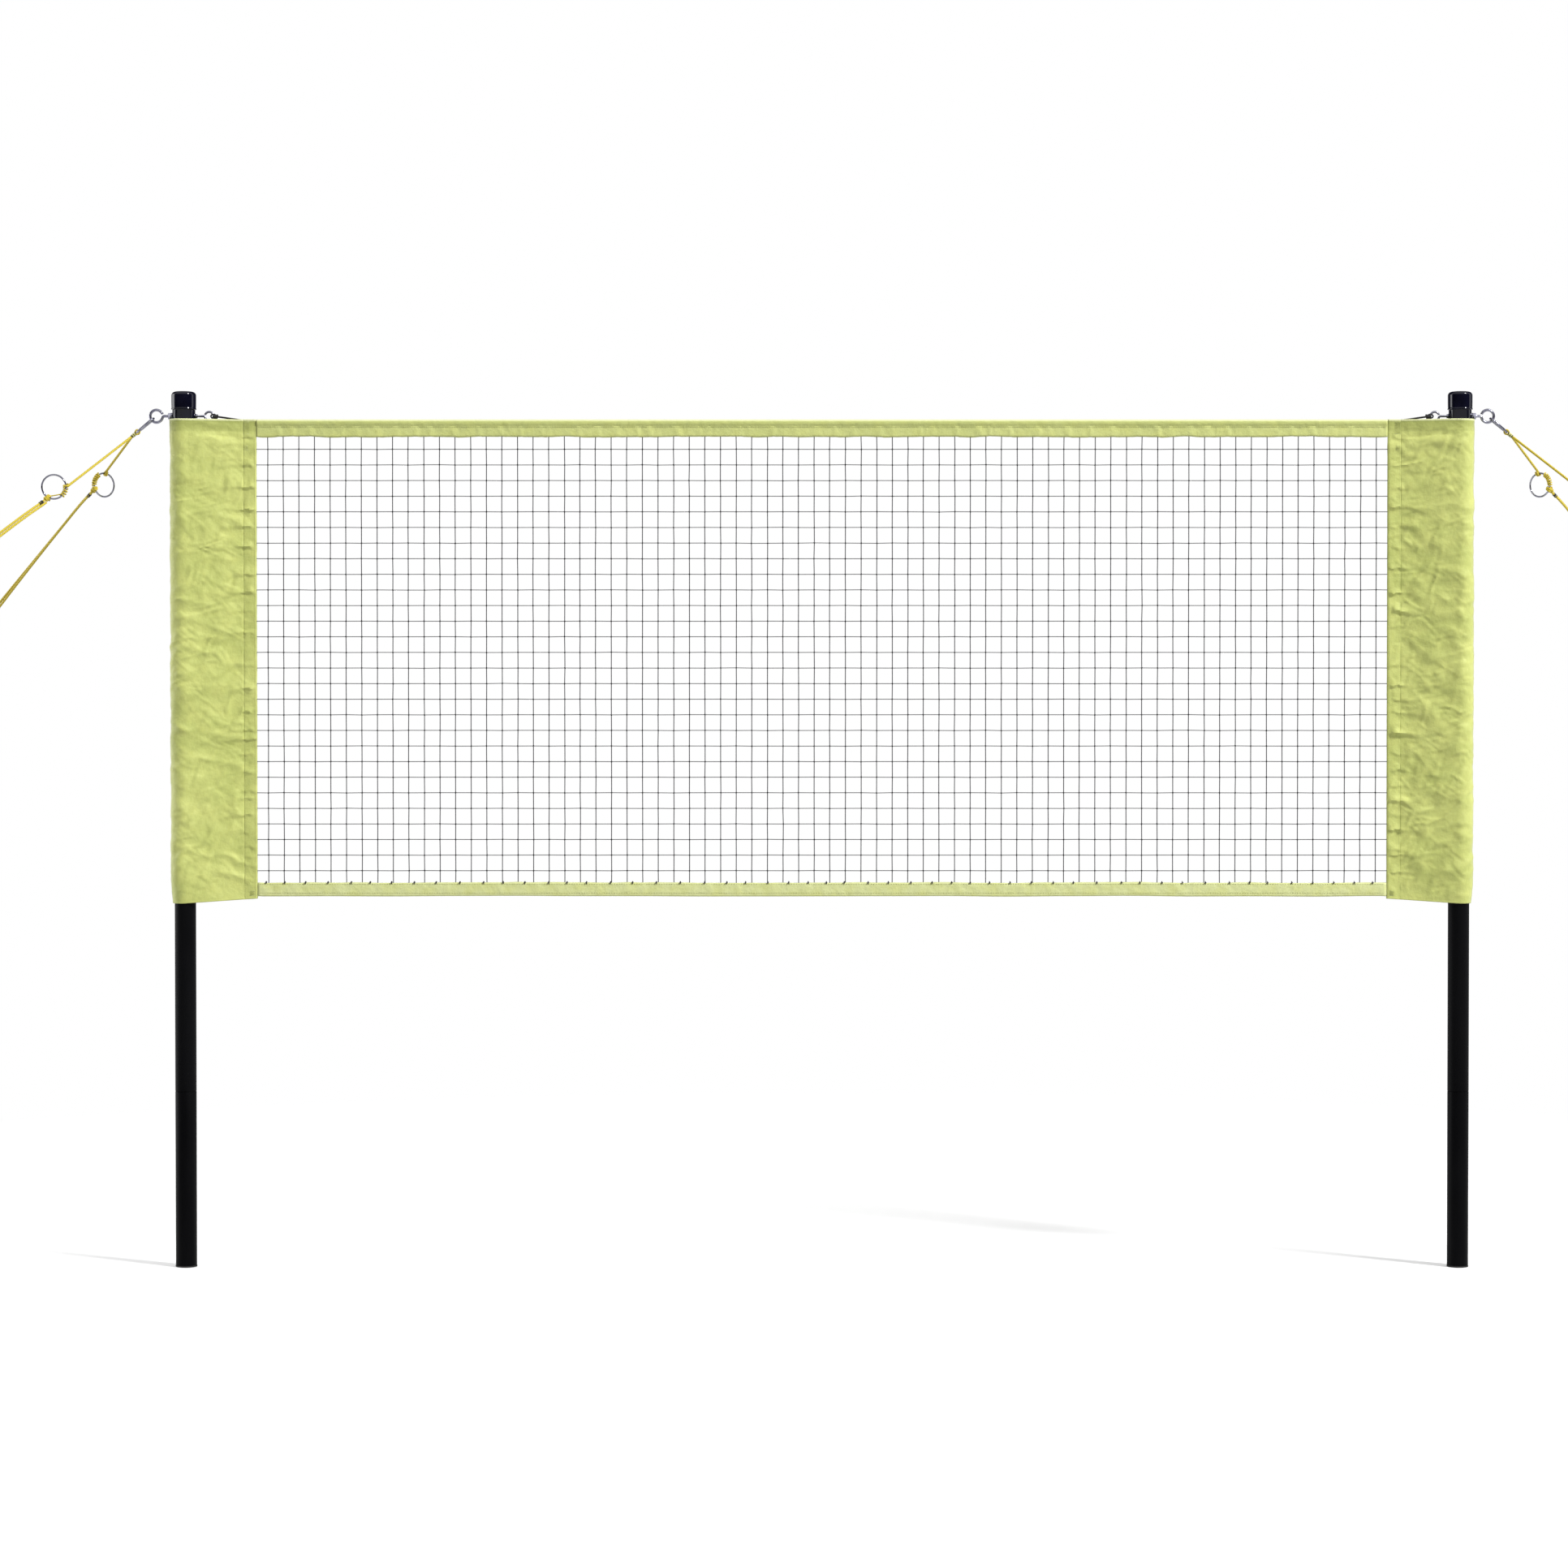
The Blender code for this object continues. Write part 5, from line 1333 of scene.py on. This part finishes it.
def sleeve_sewing(name, side, seed):
    """Stitch rows that follow the cloth along the seam and the edge, and bar tacks at the seam's ends."""
    batch, tacks = Batch(), Batch()
    seam = SLEEVE_SEAM_INSET - SLEEVE_REACH
    edge = 0.0032 - SLEEVE_REACH
    surface = CLOTH_HALF + FABRIC / 2 + 0.00005
    starts = np.arange(0.003, SLEEVE_LENGTH - 0.006, 0.0036)

    def on_cloth(out, height, face):
        """Places on the outside of the cloth, from arrays."""
        relief = sleeve_relief(out, height, side, seed if face < 0 else seed + 7)
        x = side * (HALF_SPACING + out)
        return np.stack([x, face * (surface + relief), sleeve_height(out, height)], axis=1)

    for face in (-1, 1):
        for out in (seam - 0.0016, edge):
            line = np.full_like(starts, out)
            for start, end in zip(on_cloth(line, starts, face), on_cloth(line, starts + 0.0023, face)):
                stitch(batch, start, end)
        for out, height, width, tall, rows in (
            (seam - 0.0055, SLEEVE_LENGTH - 0.0155, 0.0115, 0.022, 10),
            (seam - 0.0050, SLEEVE_LENGTH - 0.052, 0.0080, 0.007, 4),
            (edge + 0.0060, 0.010, 0.0085, 0.009, 5),
        ):
            steps = np.arange(rows * 2 + 1)
            zigzag = out + width / 2 * (2 * (steps % 2) - 1)
            path = on_cloth(zigzag, height + tall * (steps / (rows * 2) - 0.5), face)
            tacks.sweep([Vector(point) for point in path], 0.0004, 6)
    batch.add(f"{name}_sleeve_stitches", OLIVE_THREAD)
    tacks.add(f"{name}_sleeve_bar_tacks", PALE_THREAD)


def pucker(seed, pitch, spread=0.35):
    """Irregular gathers along a tape: ridges about a pitch apart."""
    chance = np.random.default_rng(SEED + seed)
    places = np.arange(-NET_HALF_WIDTH, NET_HALF_WIDTH, pitch)
    places = places + chance.uniform(-spread, spread, len(places)) * pitch
    heights = chance.uniform(0.35, 1.0, len(places))
    widths = chance.uniform(0.10, 0.22, len(places)) * pitch

    def curve(x):
        total = np.zeros_like(x)
        for spot, height, width in zip(places, heights, widths):
            total = total + height * crease(x - spot, width)
        return total

    return curve


def sewn_tape(name, section, columns, material, rows, pitch, share):
    """A tape from sleeve to sleeve with stitch rows at some heights. section(x) gives its (y, z) points."""
    count = columns[1]
    xs = np.linspace(CLEARANCE - NET_HALF_WIDTH, NET_HALF_WIDTH - CLEARANCE, count)
    grid = np.array([[(x, y, z) for y, z in section(x)] for x in xs])
    steps = np.linalg.norm(np.diff(grid, axis=1), axis=2)
    girth = np.concatenate([np.zeros((count, 1)), np.cumsum(steps, axis=1)], axis=1)
    uvs = np.stack([np.repeat(xs[:, None], grid.shape[1], axis=1), girth], axis=2)
    add_cloth(name + "_cloth", grid, uvs, material, name)
    batch = Batch()
    half, end = CLOTH_HALF + FABRIC / 2 + 0.0003, NET_HALF_WIDTH - 0.004
    for face in (-1, 1):
        for z in rows:
            stitch_row(batch, (-end, face * half, z), (end, face * half, z), pitch, share)
    batch.add(name + "_stitches", OLIVE_THREAD)


def tape_fade(x):
    """1 along a tape, falling to 0 where it meets a sleeve."""
    return min(1.0, (NET_HALF_WIDTH - abs(x)) / 0.01)


def top_tape():
    """Folded over the cord and sewn under it, with a gathered flange below the stitches."""
    half_height = (TAPE_TUBE_HEIGHT - FABRIC) / 2
    half_width = CLOTH_HALF + TAPE_BULGE
    middle = SLEEVE_TOP - TAPE_TUBE_HEIGHT / 2
    mouth = math.asin(CLOTH_HALF / half_width)
    gathers = pucker(11, 0.036), pucker(12, 0.036)
    hem = value_noise(13)
    swell = value_noise(14)
    stitch_z = middle - half_height - 0.0012

    def section(x):
        ridge, back_ridge = (gather(x) for gather in gathers)
        fade = tape_fade(x)
        low = TOP_TAPE_BOTTOM + 0.0010 + fade * (0.0012 * hem(x * 26 + 40) + 0.0006 * ridge)
        plump = 1.0 + fade * (0.10 * swell(x * 21 + 50) - 0.10 * ridge)

        def flange(height):
            """Half of the flange as (out, z), from its hem up to the stitches."""
            for share in (0.0, 0.2, 0.4, 0.6, 0.8):
                stand = fade * 0.0013 * height * math.sin(math.pi * (0.15 + 0.6 * share))
                yield CLOTH_HALF + stand, low + (stitch_z - low) * share

        points = [(-out, z) for out, z in flange(ridge)]
        for i in range(15):
            turn = mouth + (2 * math.pi - 2 * mouth) * i / 14
            points.append((-half_width * plump * math.sin(turn), middle - half_height * math.cos(turn)))
        return points + list(flange(back_ridge))[::-1]

    rows = [stitch_z - 0.0002]
    sewn_tape("top_tape", section, (200, 620), TAPE_CLOTH, rows, 0.0042, 0.66)


def bottom_tape():
    """Folded round the net's lowest edge and sewn twice."""
    gather = pucker(21, 0.055)
    wave = value_noise(22)
    hem = value_noise(23)
    fold_z = BOTTOM_TAPE_BOTTOM + FABRIC / 2 + CLOTH_HALF

    def section(x):
        fade = tape_fade(x)
        ridge = gather(x) * fade
        drop = 0.0008 * wave(x * 9 + 30) * fade
        top = BOTTOM_TAPE_TOP + 0.0005 * hem(x * 40 + 60) * fade
        front = []
        for i in range(5):
            out = CLOTH_HALF + 0.0008 * ridge * math.sin(math.pi * (1 - i / 5))
            front.append((-out, top + (fold_z - top) * i / 5 + drop))
        fold = [(y, z + drop) for y, z in arc((0.0, fold_z), CLOTH_HALF, math.pi, 2 * math.pi, 8)]
        return front + fold + [(-y, z) for y, z in reversed(front)]

    rows = BOTTOM_TAPE_TOP - 0.003, BOTTOM_TAPE_BOTTOM + 0.006
    sewn_tape("bottom_tape", section, (160, 420), FADED_CLOTH, rows, 0.0045, 0.62)


# Netting


def spread(low, high, pitch):
    count = int((high - low) / pitch)
    first = (low + high - (count - 1) * pitch) / 2
    return [first + i * pitch for i in range(count)]


def netting():
    """Square mesh of knotted twine: each crossing is off its place by a little, and carries a knot."""
    columns = spread(-NET_HALF_WIDTH, NET_HALF_WIDTH, MESH_SIZE)
    rows = spread(BOTTOM_TAPE_TOP, TOP_TAPE_BOTTOM, MESH_SIZE)
    chance = np.random.default_rng(SEED + 31)
    jitter = chance.normal(0.0, 0.00014, (len(columns), len(rows), 3))
    drift = np.cumsum(chance.normal(0.0, 0.00004, (len(columns), len(rows))), axis=1)
    across = np.array(columns)[:, None] + jitter[..., 0] + drift
    crossing = np.stack([across, jitter[..., 1] * 0.6, np.array(rows) + jitter[..., 2]], axis=2)
    uprights, rungs, knots = Batch(), Batch(), Batch()
    for x, inner in zip(columns, crossing):
        below = [(x, 0.0, BOTTOM_TAPE_TOP - 0.010), (x, 0.0, BOTTOM_TAPE_TOP)]
        above = [(x, 0.0, TOP_TAPE_BOTTOM + 0.003), (x, 0.0, TOP_TAPE_BOTTOM + 0.010)]
        uprights.sweep(below + list(inner) + above, TWINE * 0.58, 5)
    reach = NET_HALF_WIDTH + 0.012
    for j, z in enumerate(rows):
        left, right = ([(sign * reach, 0.0, z), (sign * NET_HALF_WIDTH, 0.0, z)] for sign in (-1, 1))
        rungs.sweep(left + list(crossing[:, j]) + right[::-1], TWINE * 0.46, 5)
    half = TWINE * 1.05
    for i in range(len(columns)):
        for j in range(len(rows)):
            centre = Vector(crossing[i, j])
            lean = Vector((1.0, 0.0, 0.8 if (i + j) % 2 else -0.8)).normalized() * half
            path = [centre + lean * share for share in (-1.0, -0.35, 0.35, 1.0)]
            knots.sweep(path, (TWINE * 0.62, TWINE * 1.08, TWINE * 1.08, TWINE * 0.62), 6)
    uprights.add("net_twine_uprights", NET_TWINE, "net_uprights")
    rungs.add("net_twine_rungs", NET_TWINE, "net_rungs")
    knots.add("net_twine_knots", TIGHT_TWINE)
    tie_knots(chance)


def tie_knots(chance):
    """Black ties that bind the net's lowest twines to the bottom tape."""
    ties = Batch()
    x = -NET_HALF_WIDTH + 0.016
    z = BOTTOM_TAPE_TOP - 0.0008
    half = CLOTH_HALF + FABRIC / 2 + 0.0008
    while x < NET_HALF_WIDTH - 0.012:
        loop = []
        for i in range(17):
            angle = i * math.pi / 8
            loop.append((x + 0.0006 * math.sin(i), half * math.cos(angle), z + 0.0028 * math.sin(angle)))
        ties.sweep(loop, TWINE * 0.42, 6)
        front = Vector((x, -half - 0.0004, z + 0.001))
        ties.sweep(helix(front, (0.3, 0.0, 1.0), 0.0009, 0.0, 1.6, 0.0011, 9), TWINE * 0.5, 6)
        x += chance.uniform(0.032, 0.045)
    ties.add("bottom_tape_ties", BLACK_CORD)


def main():
    add_camera()
    for name, side in SIDES.items():
        for label, line in LINES.items():
            for build in (guy_ropes, tension_ring, ring_knot):
                build(f"{name}_{label}", side, line)
        snap_hook(name, side)
        whipping(name, side)
    add_studio()
    for name, side in SIDES.items():
        for build in (poles, foot, cap):
            build(name, side)
        for kind, bolt in BOLTS.items():
            eye_bolt(f"{name}_{kind}", side, bolt)
            nut_and_washer(f"{name}_{kind}", side, bolt)
        cord_knot(name, side)
        sleeve(name, side, 40 + side)
    for build in (top_cord, top_tape, bottom_tape, netting):
        build()
    bpy.context.view_layer.update()


main()
